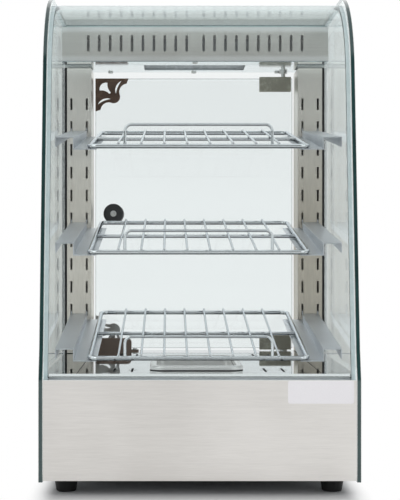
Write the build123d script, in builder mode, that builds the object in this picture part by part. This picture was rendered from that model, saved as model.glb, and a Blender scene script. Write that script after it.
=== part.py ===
from build123d import *
import os
from math import cos, radians, sin, tan

# Countertop heated display case: shaped side glasses, a curved front glass,
# three wire shelves on hooked brackets, a heated base and a lit canopy.
# Depths are measured backwards from the front edge of the side glasses,
# heights upwards from the counter.

os.makedirs("parts", exist_ok=True)

# Overall sizes of the case
case_width = 365.0
case_depth = 400.0
case_height = 590.0
knob_reach = 18.0

# Stock
glass = 5.0
sheet = 1.2
thin_sheet = 0.8
hair = 0.2
running = 0.05

# Side glass outline
lean = 8.0
crest_radius = 115.0
toe_depth = 10.0
toe_rise = 34.0
toe_blend = 28.0
side_bottom = 15.5
edge_polish = 0.5

# Base box
foot_height = 17.0
base_height = 114.0
panel_inset = 1.0
floor_step = 5.5
front_flange = 33.0
lip = 14.0
rail_width = 22.0
rail_lap = 12.4
rail_drop = 17.0
seam = 1.0
seam_set = 0.8
foot_inset = 24.0
foot_front = 38.0
screw_hole = 1.8
foot_bolt = 2.5
foot_bolt_reach = 6.0
cover_slot = (60.0, 4.0)
cover_slot_x = 70.0
cover_slot_pitch = 12.0
cover_slot_rows = 9
cover_screw_inset = 30.0
panel_screw_heights = (30.0, 120.0)

# Front glass and its clear beads
glass_inset = 8.0
bead_width = 4.5
strip_set = 1.0
strip_width = 8.0

# Canopy
canopy_depth = 112.0
canopy_height = 45.0
canopy_seal = 1.5
header_lap = 30.0
glass_lap = 23.0

# Rear posts
post_width = 33.0
post_depth = 67.0
post_set = 2.0
side_seal = 3.3
top_seal = 3.0
slot_width = 2.8
slot_height = 15.8
slot_pitch = 31.2
slot_base = 20.8
slot_margin = 5.9
slot_spread = 21.0

# Brackets
bracket_front = 68.0
bracket_drop = 29.5
seat_drop = 35.5
hook_rise = 2.8
web_rear = 8.0
seat_width = 27.0
bracket_lip = 12.0

# Wire shelves
shelf_front = 66.0
shelf_overhang = 35.0
shelf_side_gap = 9.7
frame_wire = 5.6
cross_wire = 4.6
deck_wire = 2.8
guard_wire = 3.6
guard_height = 25.5
guard_inset = 42.0
wire_pitch = 27.0
wire_tip = 5.0
corner_radius = 9.0

# Door
door_gap = 2.7
door_set = 11.0
door_low = 1.5
door_drop = 8.0
hinge_plate = (44.0, 20.0)
clamp = 3.0
hinge_web = 2.0
pivot_edge = 15.2
pivot_radius = 3.0
knob_radius = 14.0
knob_edge = 25.5
knob_height = 192.5
corner_size = 46.5
corner_thickness = 1.5

# Water tray
tray_width = 110.0
tray_length = 176.0
tray_front = 57.0
tray_depth = 40.0
tray_rim = 7.0
tray_shift = -2.5
tray_wall = 0.8
rim_height = 5.5
well_draft = 6.0

# Heater
pan_bottom = 74.0
pan_front = 60.0
pan_rear_gap = 60.0
element_radius = 3.3
element_half = 60.0
element_height = 88.0
element_front = 80.0

# Rear panel fittings, as places across the case and their height
fitting_height = 76.0
power_x = -120.0
light_x = -88.0
pilot_x = -55.0
thermostat_x = 40.0
inlet_x = 110.0
vent_x = -8.0
vent_slot = (40.0, 3.0)
vent_pitch = 7.0
vent_count = 5
switch_width = 12.6
switch_height = 18.8
pilot_radius = 3.9
spindle_bush = 5.0
dial_screw_x = 14.0
inlet_body = (27.0, 19.6)
inlet_screw_x = 20.0
fitting_slack = 0.2

# Levels and places that follow
front_y = -(case_depth + knob_reach) / 2
inner = case_width / 2 - glass
ledge_top = foot_height + base_height
floor_top = ledge_top + floor_step
plate_under = floor_top - sheet
glass_top = case_height - glass_inset
glass_under = glass_top - glass
header_top = glass_under - canopy_seal
ceiling = header_top - canopy_height - sheet
canopy_front = case_depth - canopy_depth
glass_end = canopy_front + glass_lap
post_top = ceiling - top_seal
post_outer = inner - side_seal
post_inner = post_outer - post_width
post_front = case_depth - post_set - post_depth
seam_x = post_inner - seam_set
pan_half = seam_x - rail_lap
rear_wall = case_depth - sheet
door_front = case_depth - door_set
door_rear = door_front + glass
door_half = post_inner - door_gap
door_bottom = floor_top + door_low
door_top = ceiling - door_drop
pivot_x = post_inner - pivot_edge
pivot_depth = door_front + glass / 2
arc_height = case_height - crest_radius
arc_depth = (
    toe_depth
    + (arc_height + crest_radius * sin(radians(lean)) - ledge_top - toe_rise) * tan(radians(lean))
    + crest_radius * cos(radians(lean))
)
slot_count = int((post_top - floor_top - slot_base - slot_height) / slot_pitch)
outer_slot = post_outer - slot_margin
inner_slot = outer_slot - slot_spread
bracket_slots = [1, slot_count // 2, slot_count - 2]
level_names = ["low", "middle", "top"]
lip_middle = inner - lip / 2
cover_screw_depths = (cover_screw_inset, case_depth - cover_screw_inset)


def at(depth):
    """Y of a depth measured from the front edge of the side glasses."""
    return front_y + depth


def block(x0, x1, d0, d1, z0, z1, mode=Mode.ADD):
    """Square block between two X, two depths and two heights."""
    with Locations(((x0 + x1) / 2, at((d0 + d1) / 2), (z0 + z1) / 2)):
        Box(x1 - x0, d1 - d0, z1 - z0, mode=mode)


def drill(x, depth, height, axis, radius, length, mode=Mode.SUBTRACT):
    """Round hole or pin about a point, along X, Y or Z."""
    turn = {"X": (0, 90, 0), "Y": (90, 0, 0), "Z": (0, 0, 0)}[axis]
    with Locations(Location((x, at(depth), height), turn)):
        Cylinder(radius, length, mode=mode)


def screw(seat, head_radius, head_height, shank_radius, shank_length):
    """Pan head screw; seat is the plane under its head, facing outwards."""
    with Locations(seat.offset(head_height / 2)):
        Cylinder(head_radius, head_height)
    with Locations(seat.offset(-shank_length / 2)):
        Cylinder(shank_radius, shank_length)
    with Locations(seat.offset(head_height)):
        Box(head_radius * 1.2, head_radius * 0.26, head_height * 0.9, mode=Mode.SUBTRACT)
        Box(head_radius * 0.26, head_radius * 1.2, head_height * 0.9, mode=Mode.SUBTRACT)


def facing_back(x, depth, height):
    """Plane facing the rear of the case."""
    return Plane(origin=(x, at(depth), height), x_dir=(-1, 0, 0), z_dir=(0, 1, 0))


def facing_front(x, depth, height):
    """Plane facing the front of the case."""
    return Plane(origin=(x, at(depth), height), x_dir=(1, 0, 0), z_dir=(0, -1, 0))


def facing_down(x, depth, height):
    """Plane facing the counter."""
    return Plane(origin=(x, at(depth), height), x_dir=(1, 0, 0), z_dir=(0, 0, -1))


def facing_up(x, depth, height):
    """Plane facing up."""
    return Plane(origin=(x, at(depth), height), x_dir=(1, 0, 0), z_dir=(0, 0, 1))


def brow_depth(height, inset):
    """Depth of the leaning front line at a height, set in from the side glass edge."""
    rise = height - ledge_top - toe_rise
    return toe_depth + rise * tan(radians(lean)) + inset / cos(radians(lean))


def arc_point(inset, angle):
    """Point on the crest arc; 0 is straight ahead and 90 is the crest."""
    radius = crest_radius - inset
    turn = radians(angle)
    return (at(arc_depth - radius * cos(turn)), arc_height + radius * sin(turn))


def curved_strip(outer_inset, inner_inset, bottom, end_depth):
    """Section of the front glass between two insets, as a closed outline."""
    mid = (lean + 90) / 2
    with BuildLine() as outline:
        Line((at(brow_depth(bottom, outer_inset)), bottom), arc_point(outer_inset, lean))
        ThreePointArc(arc_point(outer_inset, lean), arc_point(outer_inset, mid), arc_point(outer_inset, 90))
        Polyline(
            arc_point(outer_inset, 90),
            (at(end_depth), case_height - outer_inset),
            (at(end_depth), case_height - inner_inset),
            arc_point(inner_inset, 90),
        )
        ThreePointArc(arc_point(inner_inset, 90), arc_point(inner_inset, mid), arc_point(inner_inset, lean))
        Polyline(
            arc_point(inner_inset, lean),
            (at(brow_depth(bottom, inner_inset)), bottom),
            (at(brow_depth(bottom, outer_inset)), bottom),
        )
    make_face(outline.edges())


# Side glasses: vertical beside the base, leaning above it, then over the crest
for side, name in ((-1, "side_glass_left"), (1, "side_glass_right")):
    with BuildPart() as side_glass:
        face_x = side * inner if side > 0 else side * (inner + glass)
        with BuildSketch(Plane.YZ.offset(face_x)) as outline:
            with BuildLine():
                Polyline(
                    arc_point(0, 90),
                    (at(case_depth), case_height),
                    (at(case_depth), side_bottom),
                    (at(0), side_bottom),
                    (at(0), ledge_top),
                    (at(toe_depth), ledge_top + toe_rise),
                    arc_point(0, lean),
                )
                ThreePointArc(arc_point(0, lean), arc_point(0, (lean + 90) / 2), arc_point(0, 90))
            make_face()
            toes = [
                v
                for v in outline.vertices()
                if abs(v.Z - ledge_top) < 0.01 or abs(v.Z - ledge_top - toe_rise) < 0.01
            ]
            fillet(toes, radius=toe_blend)
        extrude(amount=glass)
        chamfer(side_glass.faces().filter_by(Axis.X).edges(), edge_polish)
    side_glass.part.label = name
    export_step(side_glass.part, f"parts/{name}.step")

# Curved front glass, standing on the ledge of the base and lapping the canopy
front_half = inner - bead_width
with BuildPart() as front_glass:
    with BuildSketch(Plane.YZ.offset(-front_half)):
        curved_strip(glass_inset, glass_inset + glass, ledge_top, glass_end)
    extrude(amount=2 * front_half)
front_glass.part.label = "front_glass"
export_step(front_glass.part, "parts/front_glass.step")

# Clear beads along both ends of the front glass, and the strip it lies on
with BuildPart() as glass_seals:
    for start in (-inner, front_half):
        with BuildSketch(Plane.YZ.offset(start)):
            curved_strip(glass_inset, glass_inset + glass, ledge_top, glass_end)
        extrude(amount=bead_width)
    strip_front = canopy_front + strip_set
    block(-front_half, front_half, strip_front, strip_front + strip_width, header_top, glass_under)
glass_seals.part.label = "glass_seals"
export_step(glass_seals.part, "parts/glass_seals.step")

# Base shell: front panel, ledge, flange, side walls, rails and rear corners
riser = brow_depth(floor_top, glass_inset + glass) + 1
with BuildPart() as base_shell:
    block(-inner, inner, panel_inset, panel_inset + sheet, foot_height, ledge_top)
    block(-inner, inner, panel_inset, riser + sheet, ledge_top - sheet, ledge_top)
    block(-inner, inner, riser, riser + sheet, ledge_top - sheet, floor_top)
    block(-inner, inner, riser, front_flange, plate_under, floor_top)
    block(-inner, inner, front_flange - sheet, front_flange + lip, plate_under - sheet, plate_under)
    block(-inner, inner, front_flange - sheet, front_flange, plate_under - sheet, floor_top)
    block(-inner, inner, panel_inset, panel_inset + lip, foot_height + sheet, foot_height + 2 * sheet)
    for side in (-1, 1):
        wall = sorted((side * inner, side * (inner - sheet)))
        inward = sorted((side * inner, side * (inner - lip)))
        block(*wall, panel_inset, rear_wall, foot_height, ledge_top - sheet)
        block(*wall, riser, rear_wall, foot_height, plate_under)
        block(*inward, front_flange, rear_wall, plate_under - sheet, plate_under)
        block(*inward, panel_inset, rear_wall, foot_height + sheet, foot_height + 2 * sheet)
        block(*inward, rear_wall - sheet, rear_wall, foot_height + sheet, plate_under)
        rail = sorted((side * pan_half, side * (pan_half + rail_width)))
        web = sorted((side * pan_half, side * (pan_half + sheet)))
        block(*rail, front_flange, rear_wall, plate_under - sheet, plate_under)
        block(*web, front_flange, rear_wall - lip, plate_under - rail_drop, plate_under)
        for height in panel_screw_heights:
            drill(side * lip_middle, rear_wall - sheet / 2, height, "Y", screw_hole, 3 * sheet)
        for depth in cover_screw_depths:
            drill(side * lip_middle, depth, foot_height + 1.5 * sheet, "Z", screw_hole, 3 * sheet)
        groove = sorted((side * (seam_x - seam / 2), side * (seam_x + seam / 2)))
        block(*groove, riser + sheet, front_flange - sheet, plate_under, floor_top, mode=Mode.SUBTRACT)
    block(-inner, inner, rear_wall - lip, rear_wall, plate_under - sheet, plate_under)
    drill(pivot_x, pivot_depth, plate_under - sheet / 2, "Z", pivot_radius + 1 + hair, 4 * sheet)
base_shell.part.label = "base_shell"
export_step(base_shell.part, "parts/base_shell.step")

# Bottom cover with two fields of slots and a hole for each foot
foot_x = inner - foot_inset
foot_depths = (foot_front, case_depth - foot_front)
foot_hole = foot_bolt + hair / 2
with BuildPart() as bottom_cover:
    block(
        -inner + sheet + hair,
        inner - sheet - hair,
        panel_inset + sheet + hair,
        rear_wall - hair,
        foot_height,
        foot_height + sheet,
    )
    for x in (-cover_slot_x, cover_slot_x):
        with BuildSketch(facing_up(x, case_depth / 2, foot_height + sheet)):
            with GridLocations(0, cover_slot_pitch, 1, cover_slot_rows):
                SlotOverall(*cover_slot)
        extrude(amount=-sheet, mode=Mode.SUBTRACT)
    for x in (-foot_x, foot_x):
        for depth in foot_depths:
            drill(x, depth, foot_height, "Z", foot_hole, 4 * sheet)
    for x in (-lip_middle, lip_middle):
        for depth in cover_screw_depths:
            drill(x, depth, foot_height, "Z", screw_hole, 4 * sheet)
bottom_cover.part.label = "bottom_cover"
export_step(bottom_cover.part, "parts/bottom_cover.step")

# Rubber feet: tapered, with a recess for the screw head
foot_top_radius = 14.1
foot_bottom_radius = 11.6
foot_bevel = 1.5
foot_recess = 9.0
foot_recess_radius = 6.2
foot_names = {
    (-1, 0): "foot_front_left",
    (1, 0): "foot_front_right",
    (-1, 1): "foot_rear_left",
    (1, 1): "foot_rear_right",
}
for (side, row), name in foot_names.items():
    spot = facing_up(side * foot_x, foot_depths[row], 0)
    with BuildPart() as foot:
        with BuildSketch(Plane(origin=spot.origin, x_dir=(1, 0, 0), z_dir=(0, -1, 0))):
            with BuildLine():
                Polyline(
                    (foot_recess_radius, 0),
                    (foot_bottom_radius - foot_bevel, 0),
                    (foot_bottom_radius, foot_bevel),
                    (foot_top_radius, foot_height),
                    (foot_hole, foot_height),
                    (foot_hole, foot_recess),
                    (foot_recess_radius, foot_recess),
                    (foot_recess_radius, 0),
                )
            make_face()
        revolve(axis=Axis(spot.origin, (0, 0, 1)))
    foot.part.label = name
    export_step(foot.part, f"parts/{name}.step")

# Foot screws with their nuts above the cover
foot_head_radius = 4.8
foot_head = 3.2
foot_shank = foot_height - foot_recess + foot_bolt_reach
nut_radius = 4.6
nut_height = 4.0
with BuildPart() as foot_screws:
    for x in (-foot_x, foot_x):
        for depth in foot_depths:
            screw(facing_down(x, depth, foot_recess), foot_head_radius, foot_head, foot_bolt, foot_shank)
            with BuildSketch(facing_up(x, depth, foot_height + sheet)):
                RegularPolygon(nut_radius, 6)
            extrude(amount=nut_height)
foot_screws.part.label = "foot_screws"
export_step(foot_screws.part, "parts/foot_screws.step")

# Rear panel with the cut-outs for its fittings, two vent fields and four screw holes
dial_screws = (thermostat_x - dial_screw_x, thermostat_x + dial_screw_x)
inlet_screws = (inlet_x - inlet_screw_x, inlet_x + inlet_screw_x)
cut_outs = (
    (power_x, switch_width, switch_height),
    (light_x, switch_width, switch_height),
    (inlet_x, *inlet_body),
)
with BuildPart() as rear_panel:
    block(-inner, inner, rear_wall, case_depth, foot_height + hair, plate_under)
    for x, width, height in cut_outs:
        with BuildSketch(facing_back(x, case_depth, fitting_height)):
            Rectangle(width + 2 * fitting_slack, height + 2 * fitting_slack)
        extrude(amount=-sheet, mode=Mode.SUBTRACT)
    drill(pilot_x, case_depth, fitting_height, "Y", pilot_radius + hair / 2, 4 * sheet)
    drill(thermostat_x, case_depth, fitting_height, "Y", spindle_bush + hair, 4 * sheet)
    for x in dial_screws + inlet_screws:
        drill(x, case_depth, fitting_height, "Y", screw_hole, 4 * sheet)
    for x in (-lip_middle, lip_middle):
        for height in panel_screw_heights:
            drill(x, case_depth, height, "Y", screw_hole, 4 * sheet)
    with BuildSketch(facing_back(vent_x, case_depth, fitting_height)):
        with GridLocations(vent_pitch, 0, vent_count, 1):
            SlotOverall(*vent_slot, rotation=90)
    extrude(amount=-sheet, mode=Mode.SUBTRACT)
rear_panel.part.label = "rear_panel"
export_step(rear_panel.part, "parts/rear_panel.step")

# Floor plate between the seams: tray opening, small vents, lower pivot hole
tray_mid = tray_front + tray_length / 2
well_width = tray_width - 2 * tray_rim
well_length = tray_length - 2 * tray_rim
well_corner = 11.0
tray_slack = 1.0
floor_edge = case_depth - hair
cross_slot = (12.0, 4.0)
long_slot = (50.0, 2.6)
floor_slot_places = (-99.0, -78.0, 78.0, 99.0)
floor_slot_depths = (tray_front + 12, post_front - 34)
with BuildPart() as floor_plate:
    block(-seam_x + seam / 2, seam_x - seam / 2, front_flange + seam, floor_edge, plate_under, floor_top)
    with BuildSketch(facing_up(tray_shift, tray_mid, floor_top)):
        RectangleRounded(well_width + 2 * tray_slack, well_length + 2 * tray_slack,
                         well_corner + tray_slack)
    extrude(amount=-sheet, mode=Mode.SUBTRACT)
    for x in floor_slot_places:
        for depth in floor_slot_depths:
            with BuildSketch(facing_up(x, depth, floor_top)):
                SlotOverall(*cross_slot)
                SlotOverall(*long_slot, rotation=90)
            extrude(amount=-sheet, mode=Mode.SUBTRACT)
    drill(pivot_x, pivot_depth, floor_top, "Z", pivot_radius + 1 + hair, 4 * sheet)
floor_plate.part.label = "floor_plate"
export_step(floor_plate.part, "parts/floor_plate.step")

# Floor strips outside the seams; the right one lets the lamp cable through
cable_x = post_outer - 17
cable_depth = post_front + 34
cable_hole = 4.0
for side, name in ((-1, "floor_strip_left"), (1, "floor_strip_right")):
    with BuildPart() as floor_strip:
        span = sorted((side * (seam_x + seam / 2), side * inner))
        block(*span, front_flange + seam, floor_edge, plate_under, floor_top)
        if side > 0:
            drill(cable_x, cable_depth, floor_top, "Z", cable_hole, 4 * sheet)
    floor_strip.part.label = name
    export_step(floor_strip.part, f"parts/{name}.step")

# Water tray: tapered well under a raised rim that is turned down to the floor
well_radius = 5.0
rim_corner = 16.0
rim_roll = 2.4
rim_sheet = 1.5 * tray_wall
rim_top = floor_top + hair + rim_height
well_depth = tray_depth + rim_height
with BuildPart() as tray_inside:
    with BuildSketch(facing_up(tray_shift, tray_mid, rim_top)):
        RectangleRounded(well_width - 2 * tray_wall, well_length - 2 * tray_wall, well_corner - tray_wall)
    extrude(amount=tray_wall - well_depth, taper=well_draft)
    fillet(tray_inside.faces().sort_by(Axis.Z)[0].edges(), well_radius - tray_wall)
with BuildPart() as water_tray:
    with BuildSketch(facing_up(tray_shift, tray_mid, rim_top)):
        RectangleRounded(well_width, well_length, well_corner)
    extrude(amount=-well_depth, taper=well_draft)
    fillet(water_tray.faces().sort_by(Axis.Z)[0].edges(), well_radius)
    with BuildSketch(facing_up(tray_shift, tray_mid, rim_top - rim_sheet)):
        RectangleRounded(tray_width, tray_length, rim_corner)
    extrude(amount=rim_sheet)
    with BuildSketch(facing_up(tray_shift, tray_mid, floor_top + hair)):
        RectangleRounded(tray_width, tray_length, rim_corner)
        RectangleRounded(tray_width - 2 * rim_sheet, tray_length - 2 * rim_sheet,
                         rim_corner - rim_sheet, mode=Mode.SUBTRACT)
    extrude(amount=rim_height)
    fillet(water_tray.faces().sort_by(Axis.Z)[-1].outer_wire().edges(), rim_roll)
    add(tray_inside.part, mode=Mode.SUBTRACT)
water_tray.part.label = "water_tray"
export_step(water_tray.part, "parts/water_tray.step")

# Heat shield: open pan hung between the rails under the floor
pan_rear = case_depth - pan_rear_gap
pan_top = plate_under - 3
bulb_x = pan_half - thin_sheet - 3 - hair
bulb_height = pan_top - 22
capillary_radius = 0.8
with BuildPart() as heat_shield:
    block(-pan_half, pan_half, pan_front, pan_rear, pan_bottom, pan_top)
    block(-pan_half + thin_sheet, pan_half - thin_sheet, pan_front + thin_sheet, pan_rear - thin_sheet,
          pan_bottom + thin_sheet, pan_top + 1, mode=Mode.SUBTRACT)
    for x in (-element_half, element_half):
        drill(x, pan_rear, element_height, "Y", element_radius + hair, 4)
    drill(bulb_x, pan_rear, bulb_height, "Y", capillary_radius + 2 * hair, 4)
heat_shield.part.label = "heat_shield"
export_step(heat_shield.part, "parts/heat_shield.step")

# Tubular heating element: one long loop with a collar and a terminal at each end
with BuildPart() as heating_element:
    with BuildLine(Plane.XY.offset(element_height)) as loop:
        Polyline((-element_half, at(pan_rear + 12)), (-element_half, at(element_front + element_half)))
        ThreePointArc(
            (-element_half, at(element_front + element_half)),
            (0, at(element_front)),
            (element_half, at(element_front + element_half)),
        )
        Polyline((element_half, at(element_front + element_half)), (element_half, at(pan_rear + 12)))
    with BuildSketch(facing_front(-element_half, pan_rear + 12, element_height)):
        Circle(element_radius)
    sweep(path=loop.line)
    for x in (-element_half, element_half):
        drill(x, pan_rear + 6, element_height, "Y", 5, 8, mode=Mode.ADD)
        drill(x, pan_rear + 15, element_height, "Y", 1.5, 10, mode=Mode.ADD)
heating_element.part.label = "heating_element"
export_step(heating_element.part, "parts/heating_element.step")

# Saddle clips that hold the element off the heat shield
clip_depths = (pan_front + 90, pan_rear - 50)
with BuildPart() as element_clips:
    for x in (-element_half, element_half):
        for depth in clip_depths:
            with BuildSketch(facing_front(x, depth - 5, element_height)):
                Circle(element_radius + running + 1)
                with Locations((0, (pan_bottom + thin_sheet - element_height) / 2)):
                    Rectangle(2, element_height - pan_bottom - thin_sheet)
                with Locations((5, pan_bottom + thin_sheet - element_height + 0.5)):
                    Rectangle(12, 1)
                Circle(element_radius + running, mode=Mode.SUBTRACT)
            extrude(amount=-10)
element_clips.part.label = "element_clips"
export_step(element_clips.part, "parts/element_clips.step")

# Thermostat body behind the rear panel, with a bush for its spindle
body_half = 18.0
body_depth = 34.0
with BuildPart() as thermostat_body:
    block(thermostat_x - body_half, thermostat_x + body_half, rear_wall - body_depth, rear_wall,
          fitting_height - body_half - 2, fitting_height + body_half + 2)
    fillet(thermostat_body.edges().filter_by(Axis.Y), 3)
    drill(thermostat_x, case_depth, fitting_height, "Y", spindle_bush, 2 * sheet + 0.4, mode=Mode.ADD)
    drill(thermostat_x, case_depth - 4, fitting_height, "Y", pivot_radius + running, 24)
    for x in dial_screws:
        drill(x, rear_wall, fitting_height, "Y", screw_hole, 20)
thermostat_body.part.label = "thermostat_body"
export_step(thermostat_body.part, "parts/thermostat_body.step")

# Thermostat knob on its spindle, with grip flutes and a raised pointer
dial_radius = 19.0
dial_lift = 2.0
dial_skirt = 5.0
grip_radius = 15.0
flute = 1.6
pointer = (2.0, 12.0)
with BuildPart() as thermostat_knob:
    with BuildSketch(facing_back(thermostat_x, case_depth + dial_lift, fitting_height)):
        Circle(dial_radius)
    extrude(amount=dial_skirt)
    with BuildSketch(facing_back(thermostat_x, case_depth + dial_lift + dial_skirt, fitting_height)):
        Circle(grip_radius)
        with PolarLocations(grip_radius, 12):
            Circle(flute, mode=Mode.SUBTRACT)
    extrude(amount=knob_reach - dial_lift - dial_skirt - 1)
    with BuildSketch(facing_back(thermostat_x, case_depth + knob_reach - 1, fitting_height)):
        with Locations((0, grip_radius - 2 - pointer[1] / 2)):
            Rectangle(*pointer)
    extrude(amount=1)
    drill(thermostat_x, case_depth - 3, fitting_height, "Y", pivot_radius, 20, mode=Mode.ADD)
thermostat_knob.part.label = "thermostat_knob"
export_step(thermostat_knob.part, "parts/thermostat_knob.step")

# Sensor bulb beside the heat shield wall, with its capillary to the thermostat
bulb_radius = 3.0
bulb_length = 60.0
with BuildPart() as sensor_bulb:
    drill(bulb_x, pan_rear - 20 - bulb_length / 2, bulb_height, "Y", bulb_radius, bulb_length,
          mode=Mode.ADD)
    with BuildLine() as capillary:
        FilletPolyline(
            (bulb_x, at(pan_rear - 20), bulb_height),
            (bulb_x, at(pan_rear + 18), bulb_height),
            (bulb_x - 30, at(rear_wall - 22), fitting_height + 10),
            (thermostat_x + 18, at(rear_wall - 22), fitting_height + 10),
            radius=12,
        )
    with BuildSketch(facing_back(bulb_x, pan_rear - 20, bulb_height)):
        Circle(capillary_radius)
    sweep(path=capillary.line)
sensor_bulb.part.label = "sensor_bulb"
export_step(sensor_bulb.part, "parts/sensor_bulb.step")

# Rocker switches: bezel and housing with a well, and a rocker on two stub pins
rocker_tilt = 9.0
rocker_pivot = case_depth - 1.5
rocker_radius = 8.3
rocker_half = 5.4
rocker_crown = 5.0
rocker_slack = 0.3
rocker_pin = 1.0
switch_depth = 19.0
bezel = 2.0
bezel_lap = 1.2
tab_length = 7.0
well_half = rocker_half + hair
well_height = rocker_radius + rocker_slack
for x, kind in ((power_x, "power"), (light_x, "light")):
    with BuildPart() as switch:
        with BuildSketch(facing_back(x, case_depth, fitting_height)):
            Rectangle(switch_width + 2 * bezel_lap, switch_height + 2 * bezel_lap)
        extrude(amount=bezel)
        with BuildSketch(facing_back(x, case_depth, fitting_height)):
            Rectangle(switch_width, switch_height)
        extrude(amount=-switch_depth)
        block(x - well_half, x + well_half, rocker_pivot - well_height, case_depth + bezel + 1,
              fitting_height - well_height, fitting_height + well_height, mode=Mode.SUBTRACT)
        drill(x, rocker_pivot, fitting_height, "X", rocker_pin + running, switch_width - 0.1)
        for height in (fitting_height - 5, fitting_height + 5):
            block(x - 2.4, x + 2.4, case_depth - switch_depth - tab_length, case_depth - switch_depth,
                  height - 0.4, height + 0.4)
    switch.part.label = f"{kind}_switch"
    export_step(switch.part, f"parts/{kind}_switch.step")

    rest = radians(-rocker_tilt)
    tilted = Plane(
        origin=(x - rocker_half, at(rocker_pivot), fitting_height),
        x_dir=(0, cos(rest), sin(rest)),
        z_dir=(1, 0, 0),
    )
    horn = rocker_crown + rocker_radius * tan(radians(rocker_tilt))
    with BuildPart() as rocker:
        with BuildSketch(tilted):
            Circle(rocker_radius)
            with BuildLine():
                Polyline((-3, -9), (-3, 9), (horn, 9), (rocker_crown, 0), (horn, -9), (-3, -9))
            make_face(mode=Mode.INTERSECT)
        extrude(amount=2 * rocker_half)
        drill(x, rocker_pivot, fitting_height, "X", rocker_pin, switch_width - 0.4, mode=Mode.ADD)
    rocker.part.label = f"{kind}_rocker"
    export_step(rocker.part, f"parts/{kind}_rocker.step")

# Pilot lamp: round lens outside, slim body inside
lens_radius = 5.5
lens_height = 3.0
with BuildPart() as pilot_lamp:
    drill(pilot_x, case_depth - 9, fitting_height, "Y", pilot_radius, 20, mode=Mode.ADD)
    drill(pilot_x, case_depth + lens_height / 2, fitting_height, "Y", lens_radius, lens_height,
          mode=Mode.ADD)
    fillet(pilot_lamp.faces().sort_by(Axis.Y)[-1].edges(), 1.4)
pilot_lamp.part.label = "pilot_lamp"
export_step(pilot_lamp.part, "parts/pilot_lamp.step")

# Mains inlet: flange with ears, housing, open mouth with three flat pins
inlet_flange = (50.0, 22.0)
inlet_lip = 2.5
inlet_mouth = (24.4, 16.8)
mouth_depth = 16.0
mouth_chamfer = 3.5
inlet_depth = 20.0
pin_tail = 4.0
pin_places = ((-7.0, -1.5), (0.0, 4.2), (7.0, -1.5))
with BuildPart() as power_inlet:
    with BuildSketch(facing_back(inlet_x, case_depth, fitting_height)):
        SlotOverall(*inlet_flange)
    extrude(amount=inlet_lip)
    with BuildSketch(facing_back(inlet_x, case_depth, fitting_height)):
        Rectangle(*inlet_body)
    extrude(amount=-inlet_depth)
    with BuildSketch(facing_back(inlet_x, case_depth + inlet_lip, fitting_height)) as mouth:
        Rectangle(*inlet_mouth)
        chamfer(mouth.vertices().group_by(Axis.Z)[-1], mouth_chamfer)
    extrude(amount=-mouth_depth, mode=Mode.SUBTRACT)
    for x, height in pin_places:
        block(inlet_x + x - 1, inlet_x + x + 1, case_depth - inlet_depth - pin_tail, case_depth + 0.5,
              fitting_height + height - 2, fitting_height + height + 2)
    for x in inlet_screws:
        drill(x, case_depth, fitting_height, "Y", screw_hole, 12)
power_inlet.part.label = "power_inlet"
export_step(power_inlet.part, "parts/power_inlet.step")

# Terminal block on the bottom cover
block_x = 78.0
block_size = (36.0, 22.0, 18.0)
block_depth = rear_wall - 38
block_top = foot_height + sheet + block_size[2]
clamp_pitch = 12.0
clamp_hole = 2.4
with BuildPart() as terminal_block:
    with BuildSketch(facing_up(block_x, block_depth, foot_height + sheet)):
        Rectangle(block_size[0], block_size[1])
    extrude(amount=block_size[2])
    for x in (-clamp_pitch, 0, clamp_pitch):
        for depth in (-clamp_pitch / 2, clamp_pitch / 2):
            drill(block_x + x, block_depth + depth, block_top, "Z", clamp_hole, 8)
terminal_block.part.label = "terminal_block"
export_step(terminal_block.part, "parts/terminal_block.step")

# Wiring: inlet to block, block to element, block up the right post to the lamp
lamp_height = ceiling + 18
lamp_depth = canopy_front + 61
holder_x = 70.0
holder_width = 12.0
wire_runs = [
    [
        (inlet_x, at(case_depth - inlet_depth - pin_tail), fitting_height + pin_places[1][1]),
        (inlet_x, at(block_depth - 2), fitting_height + pin_places[1][1]),
        (block_x + clamp_pitch, at(block_depth - 2), block_top + 24),
        (block_x + clamp_pitch, at(block_depth - 2), block_top),
    ],
    [
        (element_half, at(pan_rear + 20), element_height),
        (element_half, at(pan_rear + 34), element_height),
        (block_x - clamp_pitch, at(block_depth + 4), block_top + 26),
        (block_x - clamp_pitch, at(block_depth + 4), block_top),
    ],
    [
        (block_x + 4, at(block_depth + 2), block_top),
        (block_x + 4, at(block_depth + 2), block_top + 20),
        (cable_x, at(cable_depth), plate_under - 40),
        (cable_x, at(cable_depth), lamp_height),
        (holder_x + 36, at(lamp_depth), lamp_height),
        (holder_x + holder_width, at(lamp_depth), lamp_height),
    ],
]
wire_bends = [8, 6, 10]
wire_radius = 2.0
with BuildPart() as wiring:
    for run, bend in zip(wire_runs, wire_bends):
        with BuildLine() as route:
            FilletPolyline(*run, radius=bend)
        start = Plane(origin=run[0], z_dir=Vector(*run[1]) - Vector(*run[0]))
        with BuildSketch(start):
            Circle(wire_radius)
        sweep(path=route.line)
wiring.part.label = "wiring"
export_step(wiring.part, "parts/wiring.step")

# Rear posts: closed box posts with two rows of slots in the face
for side, name in ((-1, "post_left"), (1, "post_right")):
    with BuildPart() as post:
        span = sorted((side * post_inner, side * post_outer))
        block(*span, post_front, post_front + post_depth, floor_top, post_top)
        block(span[0] + sheet, span[1] - sheet, post_front + sheet, post_front + post_depth - sheet,
              floor_top - 1, post_top + 1, mode=Mode.SUBTRACT)
        for row in range(slot_count):
            height = floor_top + slot_base + row * slot_pitch
            for x in (outer_slot, inner_slot):
                block(side * x - slot_width / 2, side * x + slot_width / 2, post_front - 1,
                      post_front + sheet + 1, height, height + slot_height, mode=Mode.SUBTRACT)
    post.part.label = name
    export_step(post.part, f"parts/{name}.step")

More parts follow.
